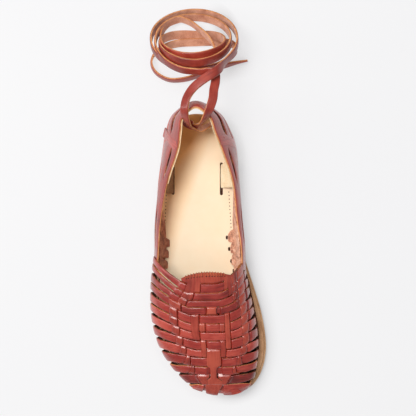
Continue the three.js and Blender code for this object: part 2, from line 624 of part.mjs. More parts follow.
const group = new THREE.Group();
group.name = 'huarache_right';
function place(name, manifold, colour, roughness) {
  const geometry = geometryOf(manifold);
  geometry.translate(-MIDDLE.x, -MIDDLE.y, 0);
  geometry.computeVertexNormals();
  const mesh = new THREE.Mesh(geometry, new THREE.MeshStandardMaterial({ color: colour, roughness }));
  mesh.name = name;
  group.add(mesh);
}
place('outsole', outsole, 0xb98d5c, 0.8);
place('midsole', midsole, 0xc79f6d, 0.75);
place('insole', insole, 0xf3dcb8, 0.6);
place('upper', upper, 0x9f3f31, 0.45);
for (const slot of TAB_SLOTS) place(`quarter_tab_${slot.name}`, tab(slot), 0xe6c79c, 0.7);
for (const { name, route } of LACE_TAILS) place(name, tail(route), 0xa6452f, 0.5);
place('lace_coil', coil(), 0xa6452f, 0.5);

export default group;
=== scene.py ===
# %% [markdown]
# A right shoe: a flat huarache woven from leather strips, with an ankle lace coiled behind the heel. The
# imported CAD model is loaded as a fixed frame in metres: toe toward -Y, big toe side +X, up +Z. The pieces
# could be drawn freehand; placed from the frame, each one lies where the solids are.

# %% Load the frame
import math

import bmesh
import bpy
import numpy as np
from mathutils import Matrix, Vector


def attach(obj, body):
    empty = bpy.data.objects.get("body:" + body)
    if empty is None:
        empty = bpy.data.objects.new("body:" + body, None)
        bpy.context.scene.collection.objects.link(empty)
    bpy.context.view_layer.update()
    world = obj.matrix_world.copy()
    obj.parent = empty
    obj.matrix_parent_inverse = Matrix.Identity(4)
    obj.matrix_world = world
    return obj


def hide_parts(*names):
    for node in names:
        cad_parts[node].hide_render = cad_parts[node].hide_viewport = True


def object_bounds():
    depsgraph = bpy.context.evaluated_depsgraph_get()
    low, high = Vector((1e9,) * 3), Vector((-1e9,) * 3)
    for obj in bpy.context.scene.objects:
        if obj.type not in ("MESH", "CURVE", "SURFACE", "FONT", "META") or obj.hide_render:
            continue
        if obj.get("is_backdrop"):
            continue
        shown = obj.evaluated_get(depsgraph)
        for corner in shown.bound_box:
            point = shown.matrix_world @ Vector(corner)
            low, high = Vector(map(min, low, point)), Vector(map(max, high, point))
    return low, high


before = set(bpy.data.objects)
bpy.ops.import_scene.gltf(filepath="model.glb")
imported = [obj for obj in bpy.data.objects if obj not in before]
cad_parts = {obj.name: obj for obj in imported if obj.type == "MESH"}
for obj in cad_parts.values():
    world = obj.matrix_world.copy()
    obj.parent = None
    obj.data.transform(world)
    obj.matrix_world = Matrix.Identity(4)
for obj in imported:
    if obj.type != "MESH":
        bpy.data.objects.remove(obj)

cad_box = [list(corner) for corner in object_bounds()]
print("CAD box", cad_box)

# %% [markdown]
# The sizes of the shoe are written in millimetres, in the maker's own drawing frame. They could be turned
# into metres by hand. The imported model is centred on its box, so one small shift and a factor of a thousand
# bring any drawn point into the scene, and the tables below stay easy to read.

# %% From the drawing to the scene
MM = 0.001
DRAWN_MIDDLE = np.array([0.45, -0.75, 0.0])


def to_scene(points):
    return (np.asarray(points, float) - DRAWN_MIDDLE) * MM


def put(name, data):
    """A new object in the scene."""
    thing = bpy.data.objects.new(name, data)
    bpy.context.scene.collection.objects.link(thing)
    return thing


print("drawn origin sits at", to_scene((0, 0, 0)))

# %% [markdown]
# The camera looks straight down from a little over a metre, from a spot to the big toe side of the shoe, so
# the inner edge of the sole shows and the outer edge hides under the upper. It could be aimed with a
# constraint; a matrix built from three axes is plainer, and keeps the toe at the bottom of the picture.

# %% Camera
CAMERA_PLACE, CAMERA_TARGET = (62.7, 36.4, 1100.0), (0.0, 36.4, 8.0)
CAMERA_LENS, SENSOR_WIDE = 103.5, 36.0


def unit(vectors):
    length = np.linalg.norm(vectors, axis=-1, keepdims=True)
    return vectors / np.where(length < 1e-9, 1.0, length)


def looking(place, aim, up=(0.0, 1.0, 0.0)):
    """The matrix of a camera or light that stands at one place and looks at another."""
    place = np.asarray(place, float)
    back = unit(place - np.asarray(aim, float))
    side = unit(np.cross(up, back))
    over = np.cross(back, side)
    return Matrix([(side[i], over[i], back[i], place[i]) for i in range(3)] + [(0, 0, 0, 1)])


camera_data = bpy.data.cameras.new("studio_camera")
camera_data.sensor_width, camera_data.lens = SENSOR_WIDE, CAMERA_LENS
camera = put("studio_camera", camera_data)
camera.matrix_world = looking(to_scene(CAMERA_PLACE), to_scene(CAMERA_TARGET))
bpy.context.scene.camera = camera
print("camera stands at", to_scene(CAMERA_PLACE).round(3))

# %% [markdown]
# The shoe stands on a plain pale sheet. A broad soft key light stands high on the outer side toward the
# heel, a long one above the heel and a low one at the outer side fill in, and a faint one looks in from the
# big toe side. An even surround keeps the shadows pale. Area lights are used because their size makes soft
# shadows.

# %% Floor and light
# place, what it looks at, size, power, colour
LIGHTS = {
    "key_light": ((-0.44, 0.20, 1.17), (0, 0.03, 0), (0.60, 0.32), 8.6, (1.0, 0.98, 0.95)),
    "window_light": ((-0.05, 0.5, 1.2), (0, 0.0, 0), (1.0, 0.24), 5.2, (1.0, 0.99, 0.97)),
    "left_light": ((-1.1, 0.05, 0.6), (-0.04, 0, 0.02), (0.7, 0.3), 2.8, (1.0, 0.97, 0.95)),
    "side_light": ((1.1, 0.0, 0.42), (0, 0, 0.03), (0.5, 0.16), 0.1, (0.86, 0.88, 1.0)),
}
SURROUND_COLOUR, SURROUND = (0.97, 0.98, 1.0, 1), 0.28
FLOOR_HALF = 3.0

for name, (place, aim, size, power, colour) in LIGHTS.items():
    data = bpy.data.lights.new(name, "AREA")
    data.shape = "RECTANGLE"
    data.size, data.size_y = size
    data.energy, data.color = power, colour
    put(name, data).matrix_world = looking(place, aim, up=(0.0, 1.0, 0.001))
world = bpy.data.worlds.new("studio_surround")
world.use_nodes = True
background = world.node_tree.nodes["Background"].inputs
background["Color"].default_value, background["Strength"].default_value = SURROUND_COLOUR, SURROUND
bpy.context.scene.world = world
bpy.context.scene.view_settings.view_transform = "Standard"

floor_mesh = bpy.data.meshes.new("floor")
corners = [(x * FLOOR_HALF, y * FLOOR_HALF, 0) for x, y in ((-1, -1), (1, -1), (1, 1), (-1, 1))]
floor_mesh.from_pydata(corners, [], [(0, 1, 2, 3)])
floor = put("floor", floor_mesh)
floor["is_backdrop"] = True
print("floor and", len(LIGHTS), "soft lights stand")

# %% [markdown]
# A material in Blender is a small graph of nodes. It could be wired by hand for each finish. One helper
# that adds a node and either sets its inputs or links them, and a few short ones for the nodes that come
# back often, let each finish below read as a list of what it is made of.

# %% Node helpers
def add_node(tree, kind, settings=None, **inputs):
    """Add a node; an input is named by its label, or by its number as _0, _1 and so on."""
    node = tree.nodes.new("ShaderNode" + kind)
    for key, value in (settings or {}).items():
        setattr(node, key, value)
    for key, value in inputs.items():
        socket = node.inputs[int(key[1:])] if key[0] == "_" else node.inputs[key.replace("_", " ")]
        if isinstance(value, bpy.types.NodeSocket):
            tree.links.new(value, socket)
        else:
            socket.default_value = value
    return node


def object_place(tree):
    return add_node(tree, "TexCoord").outputs["Object"]


def noise(tree, where, scale, detail, rough=0.5):
    node = add_node(tree, "TexNoise", Vector=where, Scale=scale, Detail=detail, Roughness=rough)
    return node.outputs["Fac"]


def mix(tree, share, first, second):
    return add_node(tree, "Mix", {"data_type": "FLOAT"}, Factor=share, _2=first, _3=second).outputs["Result"]


def work_out(tree, operation, *values, clamp=False):
    """A sum of the Math node; MULTIPLY_ADD is first times second plus third."""
    inputs = {f"_{number}": value for number, value in enumerate(values)}
    return add_node(tree, "Math", {"operation": operation, "use_clamp": clamp}, **inputs).outputs["Value"]


def remap(tree, value, low, high, to_low=0.0, to_high=1.0):
    return add_node(tree, "MapRange", Value=value, From_Min=low, From_Max=high, To_Min=to_low,
                    To_Max=to_high).outputs["Result"]


print("node helpers ready")

# %% [markdown]
# Every finish starts from Blender's own Principled shader and ends in a colour and a bump. Colours are
# given as seen on a screen, 0 to 255; a shader wants them linear, so they are turned on the way in.

# %% Finish helpers
def linear(red, green, blue):
    """A colour as seen on screen as the linear colour that a shader wants."""
    steps = [c / 255 for c in (red, green, blue)]
    return [c / 12.92 if c <= 0.04045 else ((c + 0.055) / 1.055) ** 2.4 for c in steps] + [1.0]


def new_material(name, **shader):
    material = bpy.data.materials.new(name)
    material.use_nodes = True
    principled = material.node_tree.nodes["Principled BSDF"]
    for key, value in shader.items():
        principled.inputs[key.replace("_", " ")].default_value = value
    return material, material.node_tree, principled


def paint(tree, principled, value, stops):
    """Colour by a value; the stops are pairs of place and colour."""
    node = add_node(tree, "ValToRGB", Fac=value)
    while len(node.color_ramp.elements) < len(stops):
        node.color_ramp.elements.new(0.5)
    for element, (place, colour) in zip(node.color_ramp.elements, stops):
        element.position = place
        element.color = linear(*colour)
    tree.links.new(node.outputs["Color"], principled.inputs["Base Color"])


def raise_bump(tree, principled, height, strength, distance):
    bump = add_node(tree, "Bump", Strength=strength, Distance=distance, Height=height)
    tree.links.new(bump.outputs["Normal"], principled.inputs["Normal"])


print("finish helpers ready")

# %% [markdown]
# The floor is matt pale paper with a breath of unevenness. It glows a little, so it stays white without
# flooding the shoe with light. Right beside the sole, on the side away from the key light, the glow is
# lowered as a painted contact shadow; Ambient Occlusion finds that narrow corner, and a ramp from side to
# side keeps it to the shade side.

# %% Floor finish
FLOOR_GLOW = 0.755
# reach and depth of the painted contact shadow on the floor
CONTACT_SHADOW_REACH, CONTACT_SHADOW_DARK = 0.014, 0.7

floor_finish, tree, principled = new_material(
    "pale_paper", Roughness=0.9, Emission_Color=linear(247, 247, 248), Emission_Strength=FLOOR_GLOW)
where = object_place(tree)
paint(tree, principled, noise(tree, where, 3.0, 2.0), [(0.3, (118, 118, 120)), (0.7, (121, 121, 122))])
shade_side = remap(tree, add_node(tree, "SeparateXYZ", Vector=where).outputs["X"], 0.0, 0.02)
corner = add_node(tree, "AmbientOcclusion", {"samples": 12}, Distance=CONTACT_SHADOW_REACH).outputs["AO"]
# painted contact shadow: the glow is lowered near the sole on the shade side
painted_contact_shadow = work_out(tree, "MULTIPLY", work_out(tree, "SUBTRACT", 1.0, corner), shade_side)
tree.links.new(work_out(tree, "MULTIPLY_ADD", painted_contact_shadow, -CONTACT_SHADOW_DARK, FLOOR_GLOW),
               principled.inputs["Emission Strength"])
floor_mesh.materials.append(floor_finish)
print("floor finish", floor_finish.name)

# %% [markdown]
# The strips are vegetable-tanned leather, dyed on the grain side only. Along each strip run fine streaks
# from the dye and the pull of the hand, and the surface is lightly waxed. A picture of leather could be
# wrapped on; noise stretched along the strip's own UV map, which counts metres along and across it, follows
# each bend.

# %% Dyed grain leather
TINT_STOPS = (0.36, 0.5, 0.64)


def grain_leather(name, *colours, streak=1.0, gloss=0.36, coat=0.85):
    """Leather in a dark, a middle and a light colour; streak says how much the streaks show."""
    material, tree, principled = new_material(
        name, Coat_Weight=coat, Coat_Roughness=0.14, Specular_IOR_Level=0.55)
    along = add_node(tree, "UVMap", {"uv_map": "strip"}).outputs["UV"]
    where = object_place(tree)
    stretched = add_node(tree, "Mapping", Vector=along, Scale=(55.0, 1150.0, 1.0)).outputs["Vector"]
    streaks, broad = noise(tree, stretched, 1.0, 4.0, 0.6), noise(tree, where, 95.0, 3.0, 0.55)
    each_strip = noise(tree, along, 2.3, 0.0)
    tint = mix(tree, 0.42, mix(tree, 0.48 * streak, broad, streaks), each_strip)
    paint(tree, principled, tint, list(zip(TINT_STOPS, colours)))
    pores = add_node(tree, "TexVoronoi", {"feature": "DISTANCE_TO_EDGE"}, Vector=where, Scale=1500.0)
    fine = noise(tree, where, 900.0, 4.0, 0.65)
    relief = work_out(tree, "MULTIPLY_ADD", pores.outputs["Distance"], 0.5, fine)
    raise_bump(tree, principled, work_out(tree, "MULTIPLY_ADD", streaks, 0.9, relief), 0.32, 0.0004)
    rough = remap(tree, broad, 0.3, 0.7, gloss - 0.07, gloss + 0.12)
    tree.links.new(rough, principled.inputs["Roughness"])
    return material


crosswise_leather = grain_leather("brick_red_leather", (98, 17, 12), (156, 41, 31), (194, 76, 60),
                                  streak=1.35)
lengthwise_leather = grain_leather("russet_leather", (102, 24, 15), (158, 50, 34), (190, 78, 55))
quarter_leather = grain_leather("rose_brown_leather", (108, 30, 24), (176, 66, 54), (214, 106, 90),
                                streak=1.6, gloss=0.34, coat=0.6)
lace_leather = grain_leather("lace_leather", (108, 28, 20), (154, 50, 35), (184, 76, 55),
                             streak=0.9, gloss=0.44, coat=0.35)
print("four dyed leathers")

# %% [markdown]
# Where the strips are cut, and on their flesh side, the tan of the hide shows. The cut is smooth and orange
# with faint layers; the flesh side is a short nap, so it gets a sheen, a rough surface and a soft bump.
# Hair could make a true nap, but at this distance a bump reads the same.

# %% Cut edge, flesh side and lining
NAP_STOPS = (0.34, 0.5, 0.66)


def nap_leather(name, *colours, sheen=0.0, rough=0.6, grain=900.0, depth=0.3):
    material, tree, principled = new_material(name, Roughness=rough, Sheen_Weight=sheen, Sheen_Roughness=0.5)
    where = object_place(tree)
    fine = noise(tree, where, grain, 5.0, 0.7)
    tint = mix(tree, 0.5, noise(tree, where, 120.0, 3.0), fine)
    paint(tree, principled, tint, list(zip(NAP_STOPS, colours)))
    raise_bump(tree, principled, fine, depth, 0.0006)
    return material


cut_edge = nap_leather("cut_edge", (176, 104, 58), (210, 140, 84), (232, 172, 116),
                       rough=0.62, grain=700.0, depth=0.25)
flesh_side = nap_leather("flesh_side", (158, 88, 58), (198, 124, 86), (222, 152, 112),
                         sheen=0.25, rough=0.92, grain=1500.0, depth=0.55)
lining_leather = nap_leather("cream_lining", (214, 178, 132), (238, 210, 168), (248, 228, 194), depth=0.2)
# dark cut edges: partly dye, partly painted shade for the dark gaps between the strips
edge_dye_and_shade = nap_leather("cut_edge_dye_and_shade", (46, 18, 12), (112, 54, 32), (214, 146, 88), grain=260.0, depth=0.2)
# a darker copy of the flesh side: painted shade for strip backs, the lower lining and the midsole top under
# the upper
shaded_flesh = nap_leather("shaded_flesh_side", (50, 26, 18), (86, 48, 34), (122, 76, 55),
                           sheen=0.1, rough=0.95, grain=600.0, depth=0.9)
print("cut edges, flesh sides and lining")

# %% [markdown]
# Every piece becomes one mesh from several parts. Each part brings its points, its faces, which finish goes
# on each face, and its place on the leather as a UV map. A piece could be joined with Blender's operators;
# plain lists of numbers are quicker and give the same mesh on every run.

# %% The piece maker
SHARP = 50.0                     # degrees from which a corner stays sharp


def skin(rings, around):
    """The faces of a tube of so many rings, each with so many points around."""
    return [(i * around + k, i * around + (k + 1) % around,
             (i + 1) * around + (k + 1) % around, (i + 1) * around + k)
            for i in range(rings - 1) for k in range(around)]


def piece_from(name, parts, materials, sharp=SHARP):
    """One piece from (vertices, faces, sides, uv) parts in drawn millimetres."""
    faces, sides, total = [], [], 0
    for vertices, part_faces, part_sides, _ in parts:
        faces += [tuple(i + total for i in face) for face in part_faces]
        sides += part_sides
        total += len(vertices)
    mesh = bpy.data.meshes.new(name)
    points = np.concatenate([part[0] for part in parts])
    mesh.from_pydata([tuple(v) for v in to_scene(points)], [], faces)
    for material in materials:
        mesh.materials.append(material)
    mesh.polygons.foreach_set("material_index", sides)
    mesh.polygons.foreach_set("use_smooth", [True] * len(faces))
    loops = np.zeros(len(mesh.loops), int)
    mesh.loops.foreach_get("vertex_index", loops)
    uv = np.concatenate([part[3] for part in parts])
    mesh.uv_layers.new(name="strip").data.foreach_set("uv", (uv[loops] * MM).ravel())
    shell = bmesh.new()
    shell.from_mesh(mesh)
    bmesh.ops.recalc_face_normals(shell, faces=shell.faces)
    shell.to_mesh(mesh)
    shell.free()
    mesh.set_sharp_from_angle(angle=math.radians(sharp))
    piece = put(name, mesh)
    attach(piece, "root")
    return piece


print("corners sharper than", SHARP, "degrees stay sharp")

# %% [markdown]
# Every strip, strap and lace is the same kind of thing: a long band with a grain face, two cut edges and a
# flesh side. A swept section does for all of them. The section is a flat loop with softened upper corners,
# and it knows which of its sides is grain, cut or flesh, so the finish goes on with the shape.

# %% The band maker
# share across the band, height as a share of half the thickness, and the side that starts there
BAND_SECTION = [
    (0.00, 0.10, "cut"), (0.006, 0.40, "grain"), (0.04, 0.86, "grain"), (0.11, 1.00, "grain"),
    (0.30, 1.10, "grain"), (0.50, 1.14, "grain"), (0.70, 1.10, "grain"), (0.89, 1.00, "grain"),
    (0.96, 0.86, "grain"), (0.994, 0.40, "cut"), (1.00, 0.10, "cut"), (0.985, -0.9, "flesh"),
    (0.75, -1.0, "flesh"), (0.50, -1.0, "flesh"), (0.25, -1.0, "flesh"), (0.015, -0.9, "cut"),
]
SHARES, HEIGHTS = (np.array([corner[column] for corner in BAND_SECTION]) for column in (0, 1))
FAR_EDGE = 10                    # the corner of the section at the far edge of the band
SIDES = ["grain", "cut", "flesh"]
CUT, RAW_CUT = 1, 3              # numbers of the finishes on the cut edges
BAND_SHIFT, BAND_DRIFT = 613.0, 0.37   # each band has its own place on the leather


def all_across(values):
    """One value per station, the same at every corner of the section."""
    return np.repeat(np.asarray(values)[:, None], len(SHARES), 1)


def from_to(low, high):
    """Values that run across a band from one edge to the other, for each station."""
    return low[:, None] + (high - low)[:, None] * SHARES[None, :]


def band_arrays(grid, normal, thick):
    """Vertices, faces, sides and UV of one band. grid[station, corner of the section] lies on the band's
    middle layer; normal points out of its grain face."""
    stations, around = grid.shape[:2]
    points = grid + normal * (HEIGHTS * thick / 2)[None, :, None]
    run = np.linalg.norm(np.diff(grid[:, around // 3], axis=0), axis=1)
    run = np.concatenate([[0], np.cumsum(run)])
    wide = np.linalg.norm(grid[:, 0] - grid[:, FAR_EDGE], axis=1)
    uv = np.stack([all_across(run), wide[:, None] * SHARES[None, :]], -1).reshape(-1, 2)
    sides = [SIDES.index(side) for _, _, side in BAND_SECTION] * (stations - 1) + [CUT, CUT]
    caps = [tuple(range(around)), tuple(range((stations - 1) * around, stations * around))[::-1]]
    return points.reshape(-1, 3), skin(stations, around) + caps, sides, uv


def bands_piece(name, bands, thick, grain, edge=cut_edge, back=flesh_side, raw=()):
    """One piece from several bands, each a (grid, normal) pair. The bands numbered in raw keep the tan of
    the hide along their cut edges."""
    parts = []
    for number, (grid, normal) in enumerate(bands):
        vertices, faces, sides, uv = band_arrays(grid, normal, thick)
        sides = [RAW_CUT if number in raw and side == CUT else side for side in sides]
        shift = number * BAND_SHIFT
        parts.append((vertices, faces, sides, uv + (shift, shift * BAND_DRIFT)))
    return piece_from(name, parts, [grain, edge, back, cut_edge])


print("band section of", len(BAND_SECTION), "corners")

# %% [markdown]
# The ankle lace is one flat strip, 8 mm wide and 1.9 mm thick, held in the heel strap. Each tail comes up
# over the heel rim and crosses the other. The outer one makes one leaning turn and then a loop on the
# floor; the inner one winds twice inside it. A curve with a bevel would twist on its own, so each point of
# the route carries the way its grain face looks. A soft curve is drawn through the points of each tail.

# %% Routes of the lace
LACE_WIDE, LACE_THICK = 8.0, 1.9


def hermite(start, start_slope, end, end_slope, t):
    return ((2 * t**3 - 3 * t**2 + 1) * start + (t**3 - 2 * t**2 + t) * start_slope
            + (3 * t**2 - 2 * t**3) * end + (t**3 - t**2) * end_slope)


def smooth_route(points, per_span):
    """Centripetal curve through the points; extra columns ride along with the place."""
    points = np.asarray(points, float)
    padded = np.concatenate([2 * points[:1] - points[1:2], points, 2 * points[-1:] - points[-2:-1]])
    t = np.linspace(0, 1, per_span, endpoint=False)[:, None]
    out = []
    for p0, p1, p2, p3 in zip(padded, padded[1:], padded[2:], padded[3:]):
        steps = (p1 - p0, p2 - p1, p3 - p2)
        d0, d1, d2 = (max(1e-4, np.linalg.norm(step[:3])) ** 0.5 for step in steps)
        m1 = ((p1 - p0) / d0 - (p2 - p0) / (d0 + d1) + (p2 - p1) / d1) * d1
        m2 = ((p2 - p1) / d1 - (p3 - p1) / (d1 + d2) + (p3 - p2) / d2) * d1
        out.append(hermite(p1, m1, p2, m2, t))
    return np.concatenate(out + [points[-1:]])


# x, y, z, then the way the grain face looks
OUTER_TAIL = [
    (9.2, 112.6, 37, 0.3, -0.8, -0.5), (3, 110.5, 33, 0.1, -0.8, -0.6),
    (-5.7, 106.6, 31.5, -0.2, -0.8, -0.5), (-13.5, 108.5, 42, -0.6, -0.6, 0.45),
    (-16.2, 113, 58, -0.5, -0.45, 0.75), (-17.2, 121, 67.5, -0.45, -0.15, 0.88),
    (-15.5, 131, 68, -0.5, 0.1, 0.85), (-9.6, 140.5, 66.5, -0.3, 0.2, 0.93),
    (-0.4, 148, 66.5, -0.1, 0.2, 0.97), (10.6, 155.6, 62, 0.3, 0.0, 0.95),
]
FLOOR_LOOP = [
    (26.0, 178.5, 23, 0.95, -0.1, 0.2), (22.5, 185.5, 13, 0.8, 0.4, -0.4),
    (11.0, 188.4, 6.5, 0.3, 0.6, -0.75), (-11.8, 188.6, 5.0, 0.0, 0.6, -0.8),
    (-29, 187.4, 5.2, -0.3, 0.65, -0.7), (-43, 182.6, 6.2, -0.7, 0.6, -0.4),
    (-50.4, 176.0, 6.0, -0.95, 0.25, 0.0), (-52.2, 169.0, 5.6, -1.0, -0.1, 0.15),
    (-48.4, 161.0, 5.6, -0.8, -0.5, 0.2), (-37, 154.2, 6.0, -0.3, -0.9, 0.25),
    (-23, 154.0, 7.0, 0.1, -0.9, 0.3), (-6, 158.6, 8.0, 0.3, -0.85, 0.35),
    (10.9, 165.2, 7.4, 0.25, -0.85, 0.35), (24.5, 169.0, 6.0, 0.15, -0.9, 0.3),
    (36.0, 171.4, 4.4, 0.1, -0.95, 0.2),
]
INNER_TAIL = [
    (-19.6, 116.0, 46, 0.5, -0.5, 0.7), (-16.4, 111.8, 41, 0.5, -0.5, 0.7),
    (-10.6, 109.4, 40.5, 0.5, -0.5, 0.7), (-4.6, 111.2, 47, 0.6, -0.6, 0.55),
    (0.0, 113.6, 59.5, 0.6, -0.5, 0.6), (4.4, 121, 67.5, 0.5, -0.1, 0.85), (7.6, 131, 67, 0.3, 0.1, 0.95),
    (8.2, 139, 63, 0.2, 0.2, 0.95), (9.4, 147, 58.5, 0.1, 0.1, 0.98), (8.4, 154.5, 54.0, 0.0, -0.2, 0.97),
]
INNER_END = [
    (-42.0, 192, 21, -1.0, 0.1, -0.1), (-38, 203, 12, -0.7, 0.5, -0.4), (-28, 209.5, 8, -0.3, 0.8, -0.5),
    (-17.5, 206.5, 10, 0.3, 0.8, -0.5), (-8, 199, 16, 0.6, 0.6, -0.4), (2, 189, 25, 0.7, 0.5, -0.4),
    (8.6, 178, 34, 0.8, 0.3, -0.3),
]
print("hand-placed points of the lace", sum(map(len, (OUTER_TAIL, FLOOR_LOOP, INNER_TAIL, INNER_END))))

# %% [markdown]
# Between the listed points each tail winds in turns that lean back from the heel. Points could be set
# one by one here too; a short table of turns, with the middle, radius and lean of each, is easier to read
# and keeps the turns round.

# %% Turns of the coil
# turn in degrees, middle x, y, z, radius, tilt, and how far along the axis
OUTER_COIL = np.array([
    (-40, -11.2, 185.3, 29.4, 38.5, 41, 0.0), (140, -11.2, 187.0, 30.0, 40.0, 40, -1.0),
    (270, -12.0, 193.2, 23.5, 36.5, 33, -3.0), (330, -12.0, 187.0, 22.8, 36.0, 30, -2.7),
])
INNER_COIL = np.array([
    (-82, -11.5, 185.8, 30.0, 35.5, 33, 0.0), (-255, -11.5, 187.5, 28.3, 34.0, 45, 0.5),
    (-450, -11.5, 184.4, 28.5, 32.5, 48, 1.0), (-630, -11.8, 183.0, 29.5, 28.5, 66, 0.5),
    (-720, -12.0, 184.0, 28.5, 28.5, 60, 0.5), (-810, -12.0, 187.0, 27.0, 28.8, 52, 0.5),
    (-875, -12.5, 188.0, 26.5, 29.0, 50, 0.5),
])
TURN_STEP = 24


def coil_point(turn, middle, radius, tilt, along_axis):
    """A point of a leaning coil and the way its grain face looks. Turn -90 is the raised side by the heel."""
    a, lean = math.radians(turn), math.radians(tilt)
    outward = np.array([math.cos(a), math.sin(a) * math.cos(lean), -math.sin(a) * math.sin(lean)])
    axis = np.array([0.0, math.sin(lean), math.cos(lean)])
    return np.concatenate([np.array(middle) + radius * outward + along_axis * axis, outward])


def coil_points(table, step):
    rising = table if step > 0 else table[::-1]
    points = []
    for turn in np.arange(table[0, 0], table[-1, 0] + step / 2, step):
        x, y, z, radius, tilt, axis = (np.interp(turn, rising[:, 0], rising[:, c]) for c in range(1, 7))
        points.append(coil_point(turn, (x, y, z), radius, tilt, axis))
    return points


outer_route = OUTER_TAIL + coil_points(OUTER_COIL, TURN_STEP) + FLOOR_LOOP
inner_route = INNER_TAIL + coil_points(INNER_COIL, -TURN_STEP) + INNER_END
print("points of the two routes", len(outer_route), len(inner_route))

# %% [markdown]
# A lace is cut to a point so it can be threaded. The band maker sweeps its section along each route, turned
# so the grain face looks the way the route says, and narrows it at the end. A path deform would do it too,
# but would stretch the section in the tight turns.

# %% Sweep the lace
LACE_POINT, BLUNT = 18.0, 0.15   # length of the cut point, and the share of the width left at its end
ROUTE_STEPS = 6

lace_flesh = nap_leather("lace_flesh_side", (170, 106, 80), (213, 152, 122), (236, 184, 156),
                         sheen=0.25, rough=0.92, grain=1500.0, depth=0.55)


def band_along(route, wide, point=0.0):
    """Grid and normal of a band that follows a route of points and face directions. Its width may change from
    station to station, and its end may be cut to a point of the given length."""
    place, look = route[:, :3], route[:, 3:6]
    tangent = unit(np.gradient(place, axis=0))
    across = unit(np.cross(tangent, look))
    offset = (SHARES - 0.5) * np.reshape(wide, (-1, 1))
    left = np.linalg.norm(np.diff(place, axis=0), axis=1)[::-1].cumsum()[::-1]
    tip = np.interp(np.append(left, 0.0), [0, max(point, 1e-6)], [BLUNT if point else 1.0, 1.0])
    grid = place[:, None] + across[:, None] * (offset * tip[:, None])[..., None]
    return grid, all_across(np.cross(across, tangent))


def lace_piece(name, points, *nodes):
    route = smooth_route(points, ROUTE_STEPS)
    band = band_along(route, LACE_WIDE, LACE_POINT)
    piece = bands_piece(name, [band], LACE_THICK, lace_leather, back=lace_flesh)
    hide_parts(*nodes)


lace_piece("ankle_lace_outer_tail", outer_route, "lace_tail_a", "lace_coil")
lace_piece("ankle_lace_inner_tail", inner_route, "lace_tail_b")

# %% [markdown]
# Seen from above, the shoe is two closed outlines, one round the upper and one round the sole. They come
# from a short table of sections, nearly the one that drew the CAD solids. A drawn curve object could hold
# them; an outline that can be asked where its sides are at any place along the foot is of more use to the
# strips.

# %% Plan of the shoe
# y, then where the upper's widest line and the edge of the sole are: outer side, inner side
SECTIONS = np.array([
    (120, -31.5, 13.2, -23.5, 3.2), (105, -38.0, 21.2, -36.7, 19.0), (88, -40.8, 25.7, -40.0, 25.0),
    (65, -43.8, 27.4, -41.6, 27.0), (40, -44.5, 28.6, -42.6, 27.8), (15, -45.6, 31.0, -44.2, 30.2),
    (-10, -50.0, 34.0, -47.6, 33.8), (-35, -52.6, 38.2, -50.0, 41.4), (-55, -52.6, 42.5, -50.2, 47.5),
    (-75, -49.6, 46.0, -47.4, 51.6), (-92, -43.6, 46.9, -42.0, 52.9), (-107, -34.0, 45.2, -32.8, 50.7),
    (-119, -22.8, 42.4, -21.4, 45.6), (-127, -12.4, 36.4, -11.0, 38.4),
])
UPPER_TOE, UPPER_HEEL = (23.0, -133.4), (-9.0, 130.5)
SOLE_TOE, SOLE_HEEL = (20.5, -132.8), (-10.5, 122.5)
SKIN = 1.65                      # from the outer face of a raised strip in to the line the tables give
PLAN_STEPS, LAP_OVER = 24, 3
TOE_FROM = -95                   # ahead of this y the outline is also known by x


class Plan:
    """A closed outline that can be asked for its two sides at a y, and for its toe at an x."""

    def __init__(self, outer, inner, toe, heel, skin_thick):
        lap = [(heel[0], heel[1] - skin_thick), *zip(outer + skin_thick, SECTIONS[:, 0]),
               (toe[0], toe[1] + skin_thick), *zip(inner[::-1] - skin_thick, SECTIONS[::-1, 0])]
        ring = np.array([(x, y, 0) for x, y in lap])
        closed = smooth_route(np.concatenate([ring[-LAP_OVER:], ring, ring[:LAP_OVER]]), PLAN_STEPS)
        line = closed[LAP_OVER * PLAN_STEPS:(LAP_OVER + len(ring)) * PLAN_STEPS]
        line = np.roll(line, -int(line[:, 1].argmax()), axis=0)
        toe_at = int(line[:, 1].argmin())
        self.toe_y, self.heel_y = line[toe_at, 1], line[0, 1]
        self.outer_side = line[toe_at::-1]
        self.inner_side = np.concatenate([line[toe_at:], line[:1]])
        front = line[line[:, 1] < TOE_FROM]
        self.front = front[np.argsort(front[:, 0])]

    def outer(self, y):
        return np.interp(y, self.outer_side[:, 1], self.outer_side[:, 0])

    def inner(self, y):
        return np.interp(y, self.inner_side[:, 1], self.inner_side[:, 0])

    def toe(self, x):
        return np.interp(x, self.front[:, 0], self.front[:, 1])


upper_plan = Plan(SECTIONS[:, 1], SECTIONS[:, 2], UPPER_TOE, UPPER_HEEL, SKIN)
sole_plan = Plan(SECTIONS[:, 3], SECTIONS[:, 4], SOLE_TOE, SOLE_HEEL, 0.0)
print("upper from", round(upper_plan.toe_y, 1), "to", round(upper_plan.heel_y, 1))

# %% [markdown]
# The upper follows a last, the wooden foot that a shoe is made on. It could be sculpted; here each section
# is a full oval between the two sides of the plan and the crest of the forefoot, and below its widest line
# the wall turns in to the insole. A point of it is named by an angle round the section and a place along
# the foot.

# %% The last
CREST = smooth_route([(-133.2, 16.8, 0), (-129, 19, 0), (-122, 22.8, 0), (-113, 26.8, 0), (-98, 32.2, 0),
                      (-78, 38.2, 0), (-58, 43.2, 0), (-38, 48, 0), (-18, 52, 0), (-8, 54, 0)], 12)
OUTSOLE_THICK, MIDSOLE_THICK, INSOLE_THICK, SEAT_GAP = 4.0, 2.4, 2.4, 0.3
WIDE_LINE, TUCK, CREST_LEAN, SECTION_FULL, WALL = 13.5, 4.5, 3.0, 0.78, 1.7
TOE_SPRING, SPRING_FROM, SPRING_LONG = 4.0, -92.0, 40.8
ARCH_LIFT, ARCH_FROM, ARCH_LONG = 1.2, -34.0, 78.0
NEAR = 0.8                       # steps this long, either way, give the slope of the outline


def smoothstep(low, high, value):
    share = np.clip((np.asarray(value, float) - low) / (high - low), 0, 1)
    return share * share * (3 - 2 * share)


